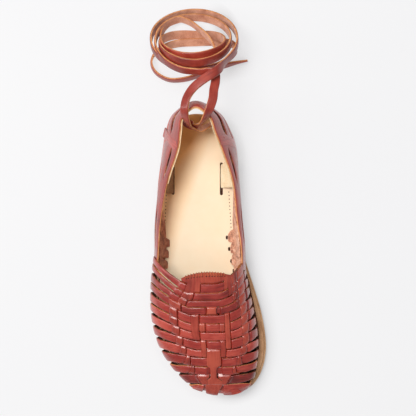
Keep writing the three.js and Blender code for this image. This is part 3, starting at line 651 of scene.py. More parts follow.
def ground(y):
    toeward = np.clip((SPRING_FROM - y) / SPRING_LONG, 0, None)
    waist = np.clip((y - ARCH_FROM) / ARCH_LONG, 0, 1)
    return TOE_SPRING * toeward**2 + ARCH_LIFT * np.sin(np.pi * waist) ** 2


def midsole_top(y):
    return ground(y) + OUTSOLE_THICK + SEAT_GAP + MIDSOLE_THICK


def insole_top(y):
    return midsole_top(y) + SEAT_GAP + INSOLE_THICK


def wall_drop(y):
    """From the widest line down to the feet of the strips."""
    return WIDE_LINE + ground(y) - midsole_top(y) - SEAT_GAP - WALL * 0.55


def last_point(angle, y):
    """Angle -90 is the widest line on the outer side, 0 the crest, 90 the inner side; past 90 the wall turns
    in toward the insole."""
    angle, y = np.broadcast_arrays(np.asarray(angle, float), np.asarray(y, float))
    outer, inner = upper_plan.outer(y), upper_plan.inner(y)
    above = np.radians(np.clip(angle, -90, 90))
    s, c = np.sin(above), np.clip(np.cos(above), 0, None)
    low = WIDE_LINE + ground(y)
    crest = np.maximum(low + 0.5, np.interp(y, CREST[:, 0], CREST[:, 1]))
    x = (outer + inner) / 2 + (inner - outer) / 2 * s + CREST_LEAN * c * c
    z = low + (crest - low) * c**SECTION_FULL
    side = np.sign(angle)
    below = np.radians(np.clip(np.abs(angle) - 90, 0, None))
    edge = np.where(side < 0, upper_plan.outer(y + NEAR) - upper_plan.outer(y - NEAR),
                    upper_plan.inner(y + NEAR) - upper_plan.inner(y - NEAR))
    inward = unit(np.stack([-side * 2 * NEAR, side * edge, np.zeros_like(edge)], -1))
    point = np.stack([x, y, np.where(below > 0, low - wall_drop(y) * np.sin(below), z)], -1)
    return point + inward * (TUCK * (1 - np.cos(below)))[..., None]


print("crest at the throat", last_point(0, -20).round(1))

# %% [markdown]
# The weave is a chart: thirteen crosswise strips, and thirteen lengthwise strips that start at the flap.
# Each row of the table says where the strip crosses the crest, how far it sweeps back at the sides, how
# wide the opening behind it is, and which strips show on top. Small repeats like this are easier to get
# right one by one than by a rule, because the maker did not follow one either.

# %% Chart of the weave
# y on the crest, sweep back outer, inner; opening outer, inner; spread; "-" where the crosswise strip shows
WEAVE = [
    (-30.1, 23.0, 20.0, 0.0, 0.0, 0.62, "-bcde---ijklm"),
    (-38.1, 25.0, 20.0, 0.8, 1.2, 0.74, "-bcd-----jklm"),
    (-44.8, 23.8, 19.0, 2.6, 2.4, 0.88, "-bc-------klm"),
    (-51.1, 21.2, 17.0, 1.0, 1.4, 1.00, "ab----g----lm"),
    (-57.8, 19.2, 15.0, 2.6, 2.4, 1.00, "a---e---i---m"),
    (-65.9, 17.3, 14.0, 1.0, 1.6, 1.00, "a---ef-hi---m"),
    (-73.6, 15.6, 13.0, 2.4, 2.4, 0.98, "a---e---i---m"),
    (-81.3, 12.3, 11.0, 2.4, 2.4, 0.88, "a----f-hi---m"),
    (-89.6, 10.0, 9.0, 2.4, 2.4, 0.79, "a----fgh----m"),
    (-97.0, 5.2, 7.0, 2.2, 2.2, 0.66, "a-----g-----m"),
    (-105.4, 2.0, 5.0, 2.2, 2.2, 0.50, "a-----g-----m"),
    (-113.4, 0.4, 3.5, 1.8, 2.0, 0.34, "-eeeeegiiiii-"),
    (-121.6, -1.5, 2.0, 1.4, 3.6, 0.16, "----nnnnn----"),
]
STRIPS = len(WEAVE)
# x of the lines between the lengthwise strips, from the middle one
LINES = np.array([-38.5, -30.0, -27.0, -23.0, -18.2, -11.0, -5.8, 7.2, 12.4, 18.0, 22.9, 27.1, 30.1, 38.5])
CORE = LINES[7]                  # this far from the middle the lines keep their distance
MIDDLE_STRIP, TOE_SHIFT = 5.6, 1.0
BORDER = 0.84                    # the outermost line stays within this share of the half width
BOW_START, BOW_OUTER, BOW_INNER = 0.25, 1.25, 2.0
FIRST_LINE, LAST_LINE, COLUMNS = 5, 18, 23


def sweep(row, s):
    reach = np.clip((np.abs(s) - BOW_START) / (1 - BOW_START), 0, None)
    return np.where(s < 0, row[1] * reach**BOW_OUTER, row[2] * reach**BOW_INNER)


def on_line(row, line):
    """Angle and y where a lengthwise line meets the back edge of a crosswise strip."""
    middle = MIDDLE_STRIP + TOE_SHIFT * smoothstep(-70, -95, row[0])
    room = np.where(line < 0, middle - upper_plan.outer(row[0]), upper_plan.inner(row[0]) - middle)
    spread = np.minimum(row[5], (room * BORDER - CORE) / (LINES[-1] - CORE))
    beyond = np.clip(np.abs(line) - CORE, 0, None)
    x = middle + np.sign(line) * (np.minimum(np.abs(line), CORE) + beyond * spread)
    y, s = np.full_like(x, row[0]), np.zeros_like(x)
    for _ in range(8):
        outer, inner = upper_plan.outer(y), upper_plan.inner(y)
        s = (x - (outer + inner) / 2 - CREST_LEAN * (1 - s * s)) / ((inner - outer) / 2)
        s = np.clip(s, -0.97, 0.97)
        y = row[0] + sweep(row, s)
    return np.degrees(np.arcsin(s)), y


print("chart of", STRIPS, "crosswise and", len(WEAVE[0][6]), "lengthwise strips")

# %% [markdown]
# Beyond the chart each crosswise strip runs on to the sole on both sides, and the gaps between the strips
# open there. The back edge of every strip is worked out once in fine steps from foot to foot and kept as a
# table. The flap ahead of the throat has no strip behind it; its edge is a shallow bow.

# %% Lines of the weave
FINE = 12
U = np.linspace(0, COLUMNS, COLUMNS * FINE + 1)
GAP_OPENS, LAST_GAP_OPENS = (0, 0.6), (0.3, 0.9)   # shares of the way down between which a gap opens
BORDER_BEND = [1, 0.7, 0.36, 0]  # share of the way from the border of the weave to the widest line
FOOT_TURN = [165, 128, 90]       # angles from the foot of a strip up to the widest line
FLAP_BACK, FLAP_DIP, FLAP_HALF, FLAP_BOW, FLAP_LEAN = -20.0, 5.5, 25, 2.2, 2


def strip_line(row):
    """Angle, y and opening along the back edge of one crosswise strip, foot to foot."""
    angle, y = on_line(row, np.interp(U, np.arange(FIRST_LINE, LAST_LINE + 1), LINES))
    opening = np.zeros_like(U)
    opens = LAST_GAP_OPENS if row is WEAVE[-1] else GAP_OPENS
    for side, step, gap in ((-1, U, row[3]), (1, COLUMNS - U, row[4])):
        flank = step < FIRST_LINE
        share = np.interp(step, [2, 3, 4, 5], BORDER_BEND)
        foot = np.interp(step, [0, 1, 2], FOOT_TURN)
        border = angle[FIRST_LINE * FINE] if side < 0 else angle[LAST_LINE * FINE]
        bent = border + (side * 90 - border) * share
        angle = np.where(flank, np.where(step < 2, side * foot, bent), angle)
        y = np.where(flank, row[0] + sweep(row, np.sin(np.radians(np.clip(angle, -90, 90)))), y)
        opening = np.where(flank, gap * smoothstep(*opens, share), opening)
    return angle, y, opening


ANGLE, ALONG, OPENING = (np.array(table) for table in zip(*[strip_line(row) for row in WEAVE]))
flap_x = last_point(ANGLE[0], ALONG[0])[:, 0]
flap_back = FLAP_BACK - FLAP_DIP * np.abs((flap_x - MIDDLE_STRIP + FLAP_LEAN) / FLAP_HALF) ** FLAP_BOW
flap_back = np.maximum(flap_back, ALONG[0] + 1.5)
ANGLE = np.concatenate([ANGLE[:1], ANGLE])
ALONG = np.concatenate([flap_back[None], ALONG])
OPENING = np.concatenate([np.zeros((1, len(U))), OPENING])
print("weave lines", ALONG.shape)

# %% [markdown]
# Any place on the forefoot can now be named by two numbers, a column from side to side and a row from the
# flap to the toe. Both sets of strips are laid on this one surface and only pushed up or down a little
# where they pass over or under each other. A shrinkwrap could lay them too, but would not know which is on
# top.

# %% Between the lines
def look_up(table, k, u):
    at = np.clip(u * FINE, 0, len(U) - 1.001)
    i = at.astype(int)
    return table[k, i] * (1 - (at - i)) + table[k, i + 1] * (at - i)


def between_lines(table, u, w):
    k = np.clip(np.floor(w), 0, STRIPS - 1).astype(int)
    before, after = np.where(k >= 1, np.maximum(k - 1, 1), k), np.minimum(k + 2, STRIPS)
    v0, v1, v2, v3 = (look_up(table, at, u) for at in (before, k, k + 1, after))
    m1, m2 = (v2 - v0) / np.maximum(1, k + 1 - before), (v3 - v1) / np.maximum(1, after - k)
    return hermite(v1, m1, v2, m2, w - k)


def on_top_of_last(u, w):
    return last_point(between_lines(ANGLE, u, w), between_lines(ALONG, u, w))


print("crest of the flap at", on_top_of_last(np.array(11.5), np.array(0.0)).round(1))

# %% [markdown]
# At the toe the rows run on round the edge and down the wall to the sole. The strips there fan out along
# the outline of the toe. A patch of its own could be sewn on with a Bridge tool; carrying the same rows on
# over three more lines keeps every strip in one smooth run.

# %% The woven surface
TOE_FEET = np.radians([0.0, 38.0, 75.0])
TOE_CROWD, TOE_EVEN = 1.35, 0.55  # how the columns share out the toe edge
TOE_NEAR, COLUMN_NEAR, ROW_NEAR = 0.6, 0.04, 0.03   # steps that give slopes and normals


def toe_edge(u, below):
    start, finish = (last_point(side * 90, ALONG[STRIPS, at] - OPENING[STRIPS, at] / 2)
                     for side, at in ((-1, 2 * FINE), (1, -2 * FINE - 1)))
    share = np.clip((u - 2) / (COLUMNS - 4), 0, 1) ** TOE_CROWD
    eased_share = TOE_EVEN * share + (1 - TOE_EVEN) * (0.5 - 0.5 * np.cos(np.pi * share))
    x = start[0] + (finish[0] - start[0]) * eased_share
    y = np.where(share <= 0, start[1], np.where(share >= 1, finish[1], upper_plan.toe(x)))
    ahead, behind = (np.clip(x + step, start[0], finish[0]) for step in (TOE_NEAR, -TOE_NEAR))
    slope = (upper_plan.toe(ahead) - upper_plan.toe(behind)) / (2 * TOE_NEAR)
    inward = unit(np.stack([-slope, np.ones_like(slope), np.zeros_like(slope)], -1))
    z = WIDE_LINE + ground(y) - wall_drop(y) * math.sin(below)
    return np.stack([x, y, z], -1) + inward * TUCK * (1 - math.cos(below))


def woven(u, w):
    """Points of the middle layer at columns u and rows w."""
    u, w = np.broadcast_arrays(np.asarray(u, float), np.asarray(w, float))
    point = on_top_of_last(u, np.minimum(w, STRIPS))
    if w.max() <= STRIPS:
        return point
    stops = [on_top_of_last(u, np.full_like(u, row)) for row in (STRIPS - 0.6, STRIPS)]
    stops += [toe_edge(u, below) for below in TOE_FEET]
    stops.append(2 * stops[-1] - stops[-2])
    k = np.clip(np.floor(w - STRIPS), 0, 2).astype(int)
    t = np.clip(w - STRIPS - k, 0, 1)[..., None]
    picked = np.stack(stops)
    a, b, c, d = (np.take_along_axis(picked, (k + step)[None, ..., None], 0)[0] for step in range(4))
    curve = hermite(b, (c - a) / 2, c, (d - b) / 2, t)
    return np.where((w > STRIPS)[..., None], curve, point)


def woven_normal(u, w):
    sideways = woven(np.minimum(u + COLUMN_NEAR, COLUMNS), w) - woven(np.maximum(u - COLUMN_NEAR, 0), w)
    forward = woven(u, np.minimum(w + ROW_NEAR, STRIPS + 3)) - woven(u, np.maximum(w - ROW_NEAR, 0))
    return unit(np.cross(forward, sideways))


print("toe tip at", woven(11.5, 14.0).round(1))

# %% [markdown]
# A crosswise strip runs from the sole on one side to the sole on the other. Where a lengthwise strip shows
# in the chart it dips under, elsewhere it rides on top. The step from over to under is eased over part of a
# column, which bends the strip and catches the light as bent leather does.

# %% Over and under
RISE = 0.95                      # how far a strip moves out from or into the middle layer of the weave
FLANK_RISE = 0.25                # share of it beyond the chart
LEAN_ROWS = (5, 12)              # rows in which the border of the weave steps


def eased(steps, spread):
    """Soften a list of levels, one per fine step, over so many fine steps."""
    window = np.hanning(2 * spread + 3)
    padded = np.concatenate([np.full(spread + 1, steps[0]), steps, np.full(spread + 1, steps[-1])])
    return np.convolve(padded, window / window.sum(), "valid")


def border_lean(line):
    """How far the line moves over in each row, in columns; the cut ends are square, so it steps."""
    rows = np.arange(STRIPS)
    moved = (woven(line, rows + 0.85) - woven(line, rows + 0.15))[:, 0] / 0.7
    wide = np.abs(woven(line + 0.5, rows + 0.5) - woven(line - 0.5, rows + 0.5))[:, 0]
    return np.where((rows >= LEAN_ROWS[0]) & (rows < LEAN_ROWS[1]), moved / wide, 0.0)


LEANS = {0: border_lean(FIRST_LINE + 1.0), 12: border_lean(FIRST_LINE + 12.0)}


def crosswise_level(strip):
    chart = WEAVE[strip - 1][6]
    column = np.clip(np.floor(U - 1e-6), 0, COLUMNS - 1).astype(int) - FIRST_LINE
    level = [FLANK_RISE if c < 0 or c > 12 else (1.0 if chart[c] == "-" else -1.0) for c in column]
    return eased(np.array(level), 2) * RISE


print("border steps", LEANS[0].round(2).max(), LEANS[12].round(2).max())

# %% [markdown]
# Each crosswise strip is one band between its own back edge and the next strip's, less half of the line
# that parts them. Its edges wander a little, as cut by hand. The last strip runs on over the toe edge and
# down to the sole. Some of the strips keep a tan edge where the dye did not reach the cut; the others have
# a dark edge, partly dye and partly painted shade of the gaps between the strips.

# %% Crosswise strips
STRIP_THICK = 1.7
GROOVE = 0.50                    # half of the line between two strips
WANDER = 0.022                   # share of a row by which its edges wander
LEAST_DEEP = 1.5
TAN_EDGED = (1, 3, 5, 10, 12)


def crosswise_band(strip):
    last = strip == STRIPS
    next_y = toe_edge(U, 0.0)[:, 1] if last else ALONG[strip + 1]
    deep = np.maximum(LEAST_DEEP, np.abs(next_y - ALONG[strip]))
    back = strip + (OPENING[strip] / 2 + GROOVE) / deep
    front = np.full_like(U, STRIPS + 3.0) if last else strip + 1 - (OPENING[strip + 1] / 2 + GROOVE) / deep
    back = back + WANDER * np.sin(U * 0.9 + strip * 2.1) * (not last)
    front = front + WANDER * np.sin(U * 1.1 + strip * 3.7) * (not last)
    keep = (U >= 2) & (U <= COLUMNS - 2) if last else U >= 0
    w = from_to(back[keep], front[keep])
    columns = all_across(U[keep])
    normal = woven_normal(columns, w)
    row = min(strip, STRIPS - 1)
    lean = np.where(columns < FIRST_LINE + 2.5, LEANS[0][row],
                    np.where(columns > FIRST_LINE + 10.5, LEANS[12][row], 0.0))
    level = np.interp(columns - lean * (0.5 - SHARES), U, crosswise_level(strip))
    return woven(columns, w) + normal * level[..., None], normal


crosswise = bands_piece("crosswise_strips", [crosswise_band(strip) for strip in range(1, STRIPS + 1)],
                        STRIP_THICK, crosswise_leather, edge_dye_and_shade, shaded_flesh, raw=TAN_EDGED)
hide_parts("upper")
print("crosswise strips", len(crosswise.data.polygons), "faces")

# %% [markdown]
# The lengthwise strips start as one flap at the throat, cut into strips where the weave begins. Each is
# laid down its own column of the chart. A strip that lies over several others sinks a little between them,
# and one that comes up from below starts low, so its end looks rounded. Two strips that are not yet cut
# apart have the soft corners between them filled up level.

# %% How a lengthwise strip lies
DIP = 0.9                        # an end strip that lies over several others sinks this far between them
SHOULDER = 0.42                  # how much lower a strip starts where it comes up, so its end is rounded
LAP = 0.06                       # share of a column by which a strip laps over the edge on its outer side
EDGE_GAP = {0: (0.13, 0.0), 12: (0.0, 0.13)}   # and by which the border strips stand clear of it
COLUMN_WIDE, SHOW_LIFT = 5.4, 0.12  # width of a column in mm, and how much higher a strip lies once cut free
CUT_FREE = (1.0, 4.5)            # rows over which the strips come free of each other
DIP_ROWS, DIP_BEFORE, DIP_AFTER = (1.2, 2.4), 0.2, 0.11   # rows in which dips begin, lengths of a dip
SHOULDER_LONG = 0.2
ROW_STEPS = 14
SOFT_BACK, SOFT_FRONT = np.zeros(len(SHARES)), np.zeros(len(SHARES))
SOFT_BACK[:3], SOFT_FRONT[8:11] = np.array([0.9, 0.6, 0.14]), np.array([0.14, 0.6, 0.9])


def filled(back, front, thick):
    """How far the soft corners of a band rise where it is one with the band behind or in front of it."""
    return (back[:, None] * SOFT_BACK + front[:, None] * SOFT_FRONT) * thick / 2


def never(row):
    return 0.0


def lengthwise_band(first, final, start, end, over, left=never, right=never, knuckles=False, wider=never):
    """A strip over columns first to final of the chart, rows start to end. over(row) tells where it shows,
    left and right where it is one with its neighbour, wider(row) how far it spreads sideways."""
    rows = np.linspace(start, end, int((end - start) * ROW_STEPS) + 1)
    on_top = np.array([over(r) for r in rows])
    level = eased(np.where(on_top, 1.0, -1.0), 2) * RISE
    if knuckles:
        past = (rows + 0.5) % 1 - 0.5
        dip = np.exp(-(past / np.where(past < 0, DIP_BEFORE, DIP_AFTER)) ** 2)
        level -= DIP * dip * on_top * smoothstep(*DIP_ROWS, rows)
    else:
        came_up = np.maximum.accumulate(np.where(on_top & ~np.roll(on_top, 1) & (rows > 1), rows, -9.0))
        level -= SHOULDER * np.exp(-(rows - came_up) / SHOULDER_LONG) * on_top
    cut = smoothstep(*CUT_FREE, rows)
    with_left, with_right = (eased(np.array([test(r) for r in rows]), 2) for test in (left, right))
    spread = eased(np.array([wider(r) for r in rows]), 3)
    low = FIRST_LINE + first - LAP * cut * (1 - with_left) - spread
    high = FIRST_LINE + final + 1 - (0.01 + GROOVE / COLUMN_WIDE * cut) * (1 - with_right) + spread
    if first == final and first in LEANS:
        step = LEANS[first][np.minimum(rows.astype(int), STRIPS - 1)] * (0.5 - rows % 1)
        low, high = low + step + EDGE_GAP[first][0] * cut, high + step - EDGE_GAP[first][1] * cut
    u = from_to(low, high)
    w = all_across(rows)
    normal = woven_normal(u, w)
    lift = level[:, None] + filled(with_left, with_right, STRIP_THICK)
    lift = lift + np.maximum(0, spread)[:, None] + (on_top * cut)[:, None] * SHOW_LIFT
    return woven(u, w) + normal * lift[..., None], normal


print("a lengthwise strip has", ROW_STEPS, "steps a row")

# %% [markdown]
# Thirteen strips follow the chart. The middle one is cut narrow and wide by turns and runs on to the toe.
# On each side of it a wider end comes out from under the last strips, and one broad piece is folded over
# the toe edge. Which strip shows where is asked of the chart, so the two sets of strips always agree.

# %% Lengthwise strips
MIDDLE, WEAVE_END, TOE_END = 6, 12.0, 13.6
TOE_UNDER, TOE_JOINED, NARROW_END = 13.15, 12.55, 12.4
MIDDLE_SPREAD, NARROW, TOE_WIDER = {4: -0.18, 9: 0.03, 10: 0.05}, -0.26, 0.24
LAST_JOINED, JOINED_COLUMNS, JOINED_ROWS = 10, 5, 5


def shows(column):
    return lambda row: row < 1 or WEAVE[min(int(row), STRIPS) - 1][6][column] != "-"


def joined(column):
    """Where a strip is not yet cut free from its neighbour on the inner side: in the flap, and beyond it on
    the outer side of the forefoot as long as both lie on top."""
    def test(row):
        if column < 0 or column > LAST_JOINED:
            return 0.0
        both = shows(column)(row) and shows(column + 1)(row)
        return float(row < 1 or (column < JOINED_COLUMNS and row < JOINED_ROWS and both))
    return test


def toe_joined(row):
    return float(row > TOE_JOINED)


def toe_end(row):
    return 12 <= row < TOE_UNDER


def middle_spread(row):
    return NARROW if 11 <= row < NARROW_END else MIDDLE_SPREAD.get(int(row), 0.0)


def toe_spread(row):
    return TOE_WIDER if row < NARROW_END else 0.0


strips = [lengthwise_band(c, c, 0.0 if c < 12 else 1.0, WEAVE_END, shows(c), joined(c - 1), joined(c),
                          knuckles=c < 4 or c > 9) for c in range(13)]
strips[MIDDLE] = lengthwise_band(
    MIDDLE, MIDDLE, 0.0, TOE_END, lambda row: shows(MIDDLE)(row) and row < TOE_UNDER,
    lambda row: joined(MIDDLE - 1)(row) or toe_joined(row),
    lambda row: joined(MIDDLE)(row) or toe_joined(row), wider=middle_spread)
strips += [lengthwise_band(1, 5, 11.6, TOE_END, toe_end, never, toe_joined, wider=toe_spread),
           lengthwise_band(7, 11, 11.6, TOE_END, toe_end, toe_joined, never, wider=toe_spread),
           lengthwise_band(5, 7, 12.5, 15.9, lambda row: row >= 12.9)]
lengthwise = bands_piece("lengthwise_strips", strips, STRIP_THICK, lengthwise_leather,
                         edge_dye_and_shade, shaded_flesh)
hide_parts("upper")
print("lengthwise strips and flap", len(lengthwise.data.polygons), "faces")

# %% [markdown]
# Behind the vamp the side runs back as a strap quarter and arches over the heel, open underneath. A sheet
# could be bent round the last by hand; here the wall is drawn between a lower and an upper edge, with a
# slight bulge. A place on it is named by how far round it is, from the inner front round the heel to the
# outer front, and by the share of the way down from the topline.

# %% Wall of the quarter
# lower edge x, y, z, then upper edge x, y, z, from the inner front round the heel to the outer front
QUARTER = np.array([
    (34.2, -20, 14, 32.2, -19, 31), (32.8, 2, 13, 31.2, 2, 33), (28.6, 24, 13, 27.8, 25, 33.5),
    (26.6, 58, 12.5, 24.0, 60, 39), (25.4, 90, 11.5, 15.4, 87, 48.5), (20.0, 107, 14, 9.2, 103, 54),
    (10.8, 120.5, 22, 4.6, 116.0, 59), (-9.5, 129.4, 34, -7.6, 124.2, 63),
    (-29.5, 120.5, 22, -19.4, 116.0, 59), (-37.4, 107, 14, -22.0, 103, 54),
    (-40.6, 90, 11.5, -24.8, 87, 48.5), (-43.8, 58, 12.5, -34.4, 60, 39), (-45.0, 24, 13, -41.2, 25, 33.5),
    (-47.4, 2, 13, -43.0, 2, 33), (-48.9, -20, 14, -44.4, -19, 31),
], float)
SPANS = len(QUARTER) - 1
QUARTER_BULGE, BULGE_ENDS = 3.2, 0.16
PLACE_NEAR, SHARE_NEAR = 0.006, 0.05   # steps that give the wall's normal


def quarter_edges(place):
    at = np.clip(np.asarray(place, float), 0, 1) * SPANS
    i = np.clip(np.floor(at), 0, SPANS - 1).astype(int)
    p0, p1, p2, p3 = (QUARTER[np.clip(i + step, 0, SPANS)] for step in (-1, 0, 1, 2))
    m1 = np.where((i > 0)[..., None], (p2 - p0) / 2, p2 - p1)
    m2 = np.where((i < SPANS - 1)[..., None], (p3 - p1) / 2, p2 - p1)
    return hermite(p1, m1, p2, m2, (at - i)[..., None])


def quarter_point(place, share):
    place, share = np.broadcast_arrays(np.asarray(place, float), np.asarray(share, float))

    def flat(at):
        edges = quarter_edges(at)
        return edges[..., 3:] + (edges[..., :3] - edges[..., 3:]) * share[..., None]

    run = flat(np.minimum(1, place + 0.01)) - flat(np.maximum(0, place - 0.01))
    outward = unit(np.stack([run[..., 1], -run[..., 0], np.zeros_like(share)], -1))
    ends = smoothstep(0, BULGE_ENDS, place) * (1 - smoothstep(1 - BULGE_ENDS, 1, place))
    return flat(place) + outward * (QUARTER_BULGE * 4 * share * (1 - share) * ends)[..., None]


def quarter_normal(place, share):
    ahead, behind = np.minimum(1, place + PLACE_NEAR), np.maximum(0, place - PLACE_NEAR)
    above, below = np.maximum(0, share - SHARE_NEAR), np.minimum(1, share + SHARE_NEAR)
    run = quarter_point(ahead, share) - quarter_point(behind, share)
    return unit(np.cross(run, quarter_point(place, above) - quarter_point(place, below)))


print("top of the heel at", quarter_point(0.5, 0.0).round(1))

# %% [markdown]
# Long slits part the quarter into three straps. They could be cut out of one sheet with Booleans. Here each
# strap is a band of its own, so its edges are round and show the cut leather; where no slit is open the
# soft corners are filled up level, so the leather reads as one piece there.

# %% Strap quarter
# number of the line between two straps, opening, and where along the quarter it runs
SLITS = [(1, 4.6, 0.33, 0.46), (1, 3.0, 0.205, 0.295), (1, 3.4, 0.54, 0.66), (1, 3.0, 0.70, 0.785),
         (1, 2.8, 0.82, 0.94), (1, 2.2, 0.07, 0.18), (2, 3.4, 0.06, 0.24), (2, 2.2, 0.30, 0.46),
         (2, 2.2, 0.54, 0.70), (2, 4.0, 0.74, 0.94)]
STRAP_LINES, RAISED_LINE, LINE_RAISE = (0.0, 0.36, 0.68, 1.0), 1, 0.15
BY_TABS = [(0.16, 0.21, 0.29, 0.33), (0.66, 0.70, 0.78, 0.83)]   # where a line rises and comes down again
SLIT_END = 0.03
PLACES = np.linspace(0, 1, 241)


def slit_line(line, place):
    """Share of the wall at which a line between two straps runs; the first rises toward the topline by the
    tabs."""
    by_tabs = sum(smoothstep(a, b, place) * (1 - smoothstep(c, d, place)) for a, b, c, d in BY_TABS)
    return STRAP_LINES[line] - (LINE_RAISE if line == RAISED_LINE else 0.0) * by_tabs


def slit_opening(line, place):
    opened = np.zeros_like(place)
    for number, opening, start, end in SLITS:
        if number == line:
            ends = smoothstep(start, start + SLIT_END, place) * (1 - smoothstep(end - SLIT_END, end, place))
            opened = np.maximum(opened, opening * ends)
    return opened


def strap_band(number):
    """Strap 0 is the one along the topline, strap 2 the lowest."""
    edges = quarter_edges(PLACES)
    tall = np.linalg.norm(edges[:, 3:] - edges[:, :3], axis=1)
    open_top, open_low = slit_opening(number, PLACES), slit_opening(number + 1, PLACES)
    start = slit_line(number, PLACES) + open_top / 2 / tall
    end = slit_line(number + 1, PLACES) - open_low / 2 / tall
    share = from_to(start, end)
    place = all_across(PLACES)
    normal = quarter_normal(place, share)
    shut_top = (1 - smoothstep(0.1, 0.9, open_top)) * (number > 0)
    shut_low = (1 - smoothstep(0.1, 0.9, open_low)) * (number < 2)
    return quarter_point(place, share) + normal * filled(shut_top, shut_low, WALL)[..., None], normal


quarter = bands_piece("strap_quarter", [strap_band(number) for number in range(3)], WALL, quarter_leather,
                      edge_dye_and_shade, flesh_side, raw=(0, 2))
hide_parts("upper")
print("quarter", len(quarter.data.polygons), "faces")

# %% [markdown]
# On each side of the heel a short strap crosses the quarter from the topline down, holds the long straps
# together, and on the outer side sticks out a little at its cut end. It could be pressed into the quarter's
# own surface; a band of its own laid on top gives the true edges and their shadows.

# %% Crossing straps
# place and share of the wall, and how far the strap stands off the quarter's face
CROSSING = {
    "inner": [(0.322, 0.03, -0.6), (0.318, 0.12, -0.3), (0.311, 0.34, -0.2), (0.303, 0.62, -0.2),
              (0.297, 0.88, -0.6)],
    "outer": [(0.704, 0.03, -0.6), (0.698, 0.12, -0.3), (0.684, 0.34, -0.2), (0.668, 0.58, -0.1),
              (0.658, 0.72, 0.3), (0.653, 0.80, 1.2)],
}
CROSSING_WIDE, CROSSING_THICK = 9.0, 1.1


def crossing_band(stops):
    route = []
    for place, share, out in stops:
        normal = quarter_normal(np.array(place), np.array(share))
        route.append([*(quarter_point(place, share) + normal * (WALL / 2 + out)), *normal])
    return band_along(smooth_route(route, ROUTE_STEPS), CROSSING_WIDE)


crossing = bands_piece("crossing_straps", [crossing_band(stops) for stops in CROSSING.values()],
                       CROSSING_THICK, quarter_leather, edge_dye_and_shade, shaded_flesh)
print("crossing straps", len(crossing.data.polygons), "faces")

# %% [markdown]
# Round the heel, from tab to tab, the quarter is lined with thin leather: cream along the topline, where it
# shows as a pale line, and below it a dark brown that is painted shade, as seen through the slits. A Solidify
# modifier could thicken the wall inward; the same sweep set in by its own thickness lets the lining stand a
# hair above the edge.

# %% Quarter lining
LINING_THICK, LINING_GAP = 0.6, 0.05
# first and last place round the quarter, upper and lower share of the wall, and the face's finish
LININGS = {"topline_lining": (0.20, 0.79, -0.018, 0.16, lining_leather),
           # the lower lining wears the darker flesh side as painted shade
           "quarter_lining": (0.19, 0.80, 0.17, 0.94, shaded_flesh)}


def lining_band(start, end, top, low):
    place = all_across(np.linspace(start, end, 181))
    share = np.repeat((top + (low - top) * SHARES)[None, :], len(place), 0)
    normal = quarter_normal(place, np.clip(share, 0, 1))
    return quarter_point(place, share) - normal * (WALL / 2 + LINING_THICK / 2 + LINING_GAP), normal


for name, (*where_it_lies, face) in LININGS.items():
    band = lining_band(*where_it_lies)
    piece = bands_piece(name, [band], LINING_THICK, face, lining_leather, lining_leather)
    print(piece.name, len(piece.data.polygons), "faces")

# %% [markdown]
# The sole is two tan layers of one outline, the upper one drawn in a little and a shade lighter. The layers
# that a sole is pressed from show as fine lines along its edge. A striped picture could be wrapped round;
# noise squeezed in height gives the same lines and does not repeat.

# %% Sole finishes
def sole_finish(name, *colours, layers):
    material, tree, principled = new_material(name, Roughness=0.68)
    where = object_place(tree)
    squeezed = add_node(tree, "Mapping", Vector=where, Scale=(40.0, 40.0, layers)).outputs["Vector"]
    mixed = mix(tree, 0.3, noise(tree, squeezed, 1.0, 5.0, 0.65), noise(tree, where, 1400.0, 3.0))
    paint(tree, principled, mixed, list(zip(TINT_STOPS, colours)))
    raise_bump(tree, principled, mixed, 0.3, 0.0004)
    return material


outsole_finish = sole_finish("outsole_tan", (170, 121, 80), (210, 162, 117), (226, 186, 144), layers=900.0)
midsole_finish = sole_finish("midsole_tan", (180, 128, 85), (220, 170, 124), (234, 194, 152), layers=1300.0)
print("sole finishes", outsole_finish.name, midsole_finish.name)

# %% [markdown]
# A sole layer is cut from a flat sheet. It could be an extruded outline with a bevel; here it is a stack of
# closed outlines that are drawn in a little at the corners, so the edge is rounded all the way round and
# the layer can follow the toe spring and the arch.

# %% How a sole layer is stacked
STATIONS, OVERHANG = 150, 0.06


def layer_arrays(levels):
    """levels: (drawn in, height function, sides function) from the bottom up."""
    share = (1 - np.cos(np.pi * np.linspace(0, 1, STATIONS + 1))) / 2
    true_y = sole_plan.heel_y - OVERHANG + (sole_plan.toe_y - sole_plan.heel_y + 2 * OVERHANG) * share
    rings = []
    for drawn_in, height, sides in levels:
        y = true_y[0] - drawn_in + (true_y[-1] - true_y[0] + 2 * drawn_in) * share
        outer, inner = sides(true_y)
        room = np.minimum(drawn_in, (inner - outer) * 0.45)
        rings.append(np.stack([np.stack([x, y, height(y)], -1) for x in (outer + room, inner - room)], 1))
    tall = len(levels)

    def at(level, station, side):
        return (level * (STATIONS + 1) + station) * 2 + side

    faces = []
    for i in range(STATIONS):
        faces += [(at(r, i, side), at(r, i + 1, side), at(r + 1, i + 1, side), at(r + 1, i, side))
                  for r in range(tall - 1) for side in (0, 1)]
        faces.append((at(0, i, 0), at(0, i, 1), at(0, i + 1, 1), at(0, i + 1, 0)))
        faces.append((at(tall - 1, i, 0), at(tall - 1, i + 1, 0), at(tall - 1, i + 1, 1), at(tall - 1, i, 1)))
    for station in (0, STATIONS):
        faces.append(tuple([at(r, station, 0) for r in range(tall)]
                           + [at(r, station, 1) for r in reversed(range(tall))]))
    return np.stack(rings).reshape(-1, 3), faces


print("a sole layer has", STATIONS, "stations")

# %% [markdown]
# Outsole, midsole and footbed lie on each other with a hair of room between them, and each is made from its
# two heights by the same few lines. No light gets under the upper, so the top of the midsole is dark there.
# A separate dark sheet could be laid in; a second finish on the faces between two lines does the same
# without another piece.

# %% Sole layers
# share of the rounding by which an outline is drawn in, from the bottom or the top, share of it up or down
ROUNDED = [(1.0, 0, 0.0), (0.25, 0, 0.2), (0.0, 0, 0.8), (0.0, 1, -0.8), (0.25, 1, -0.2), (1.0, 1, 0.0)]
MIDSOLE_INSET, COVER_INSET, LEAST_HALF = 1.9, 0.6, 0.3
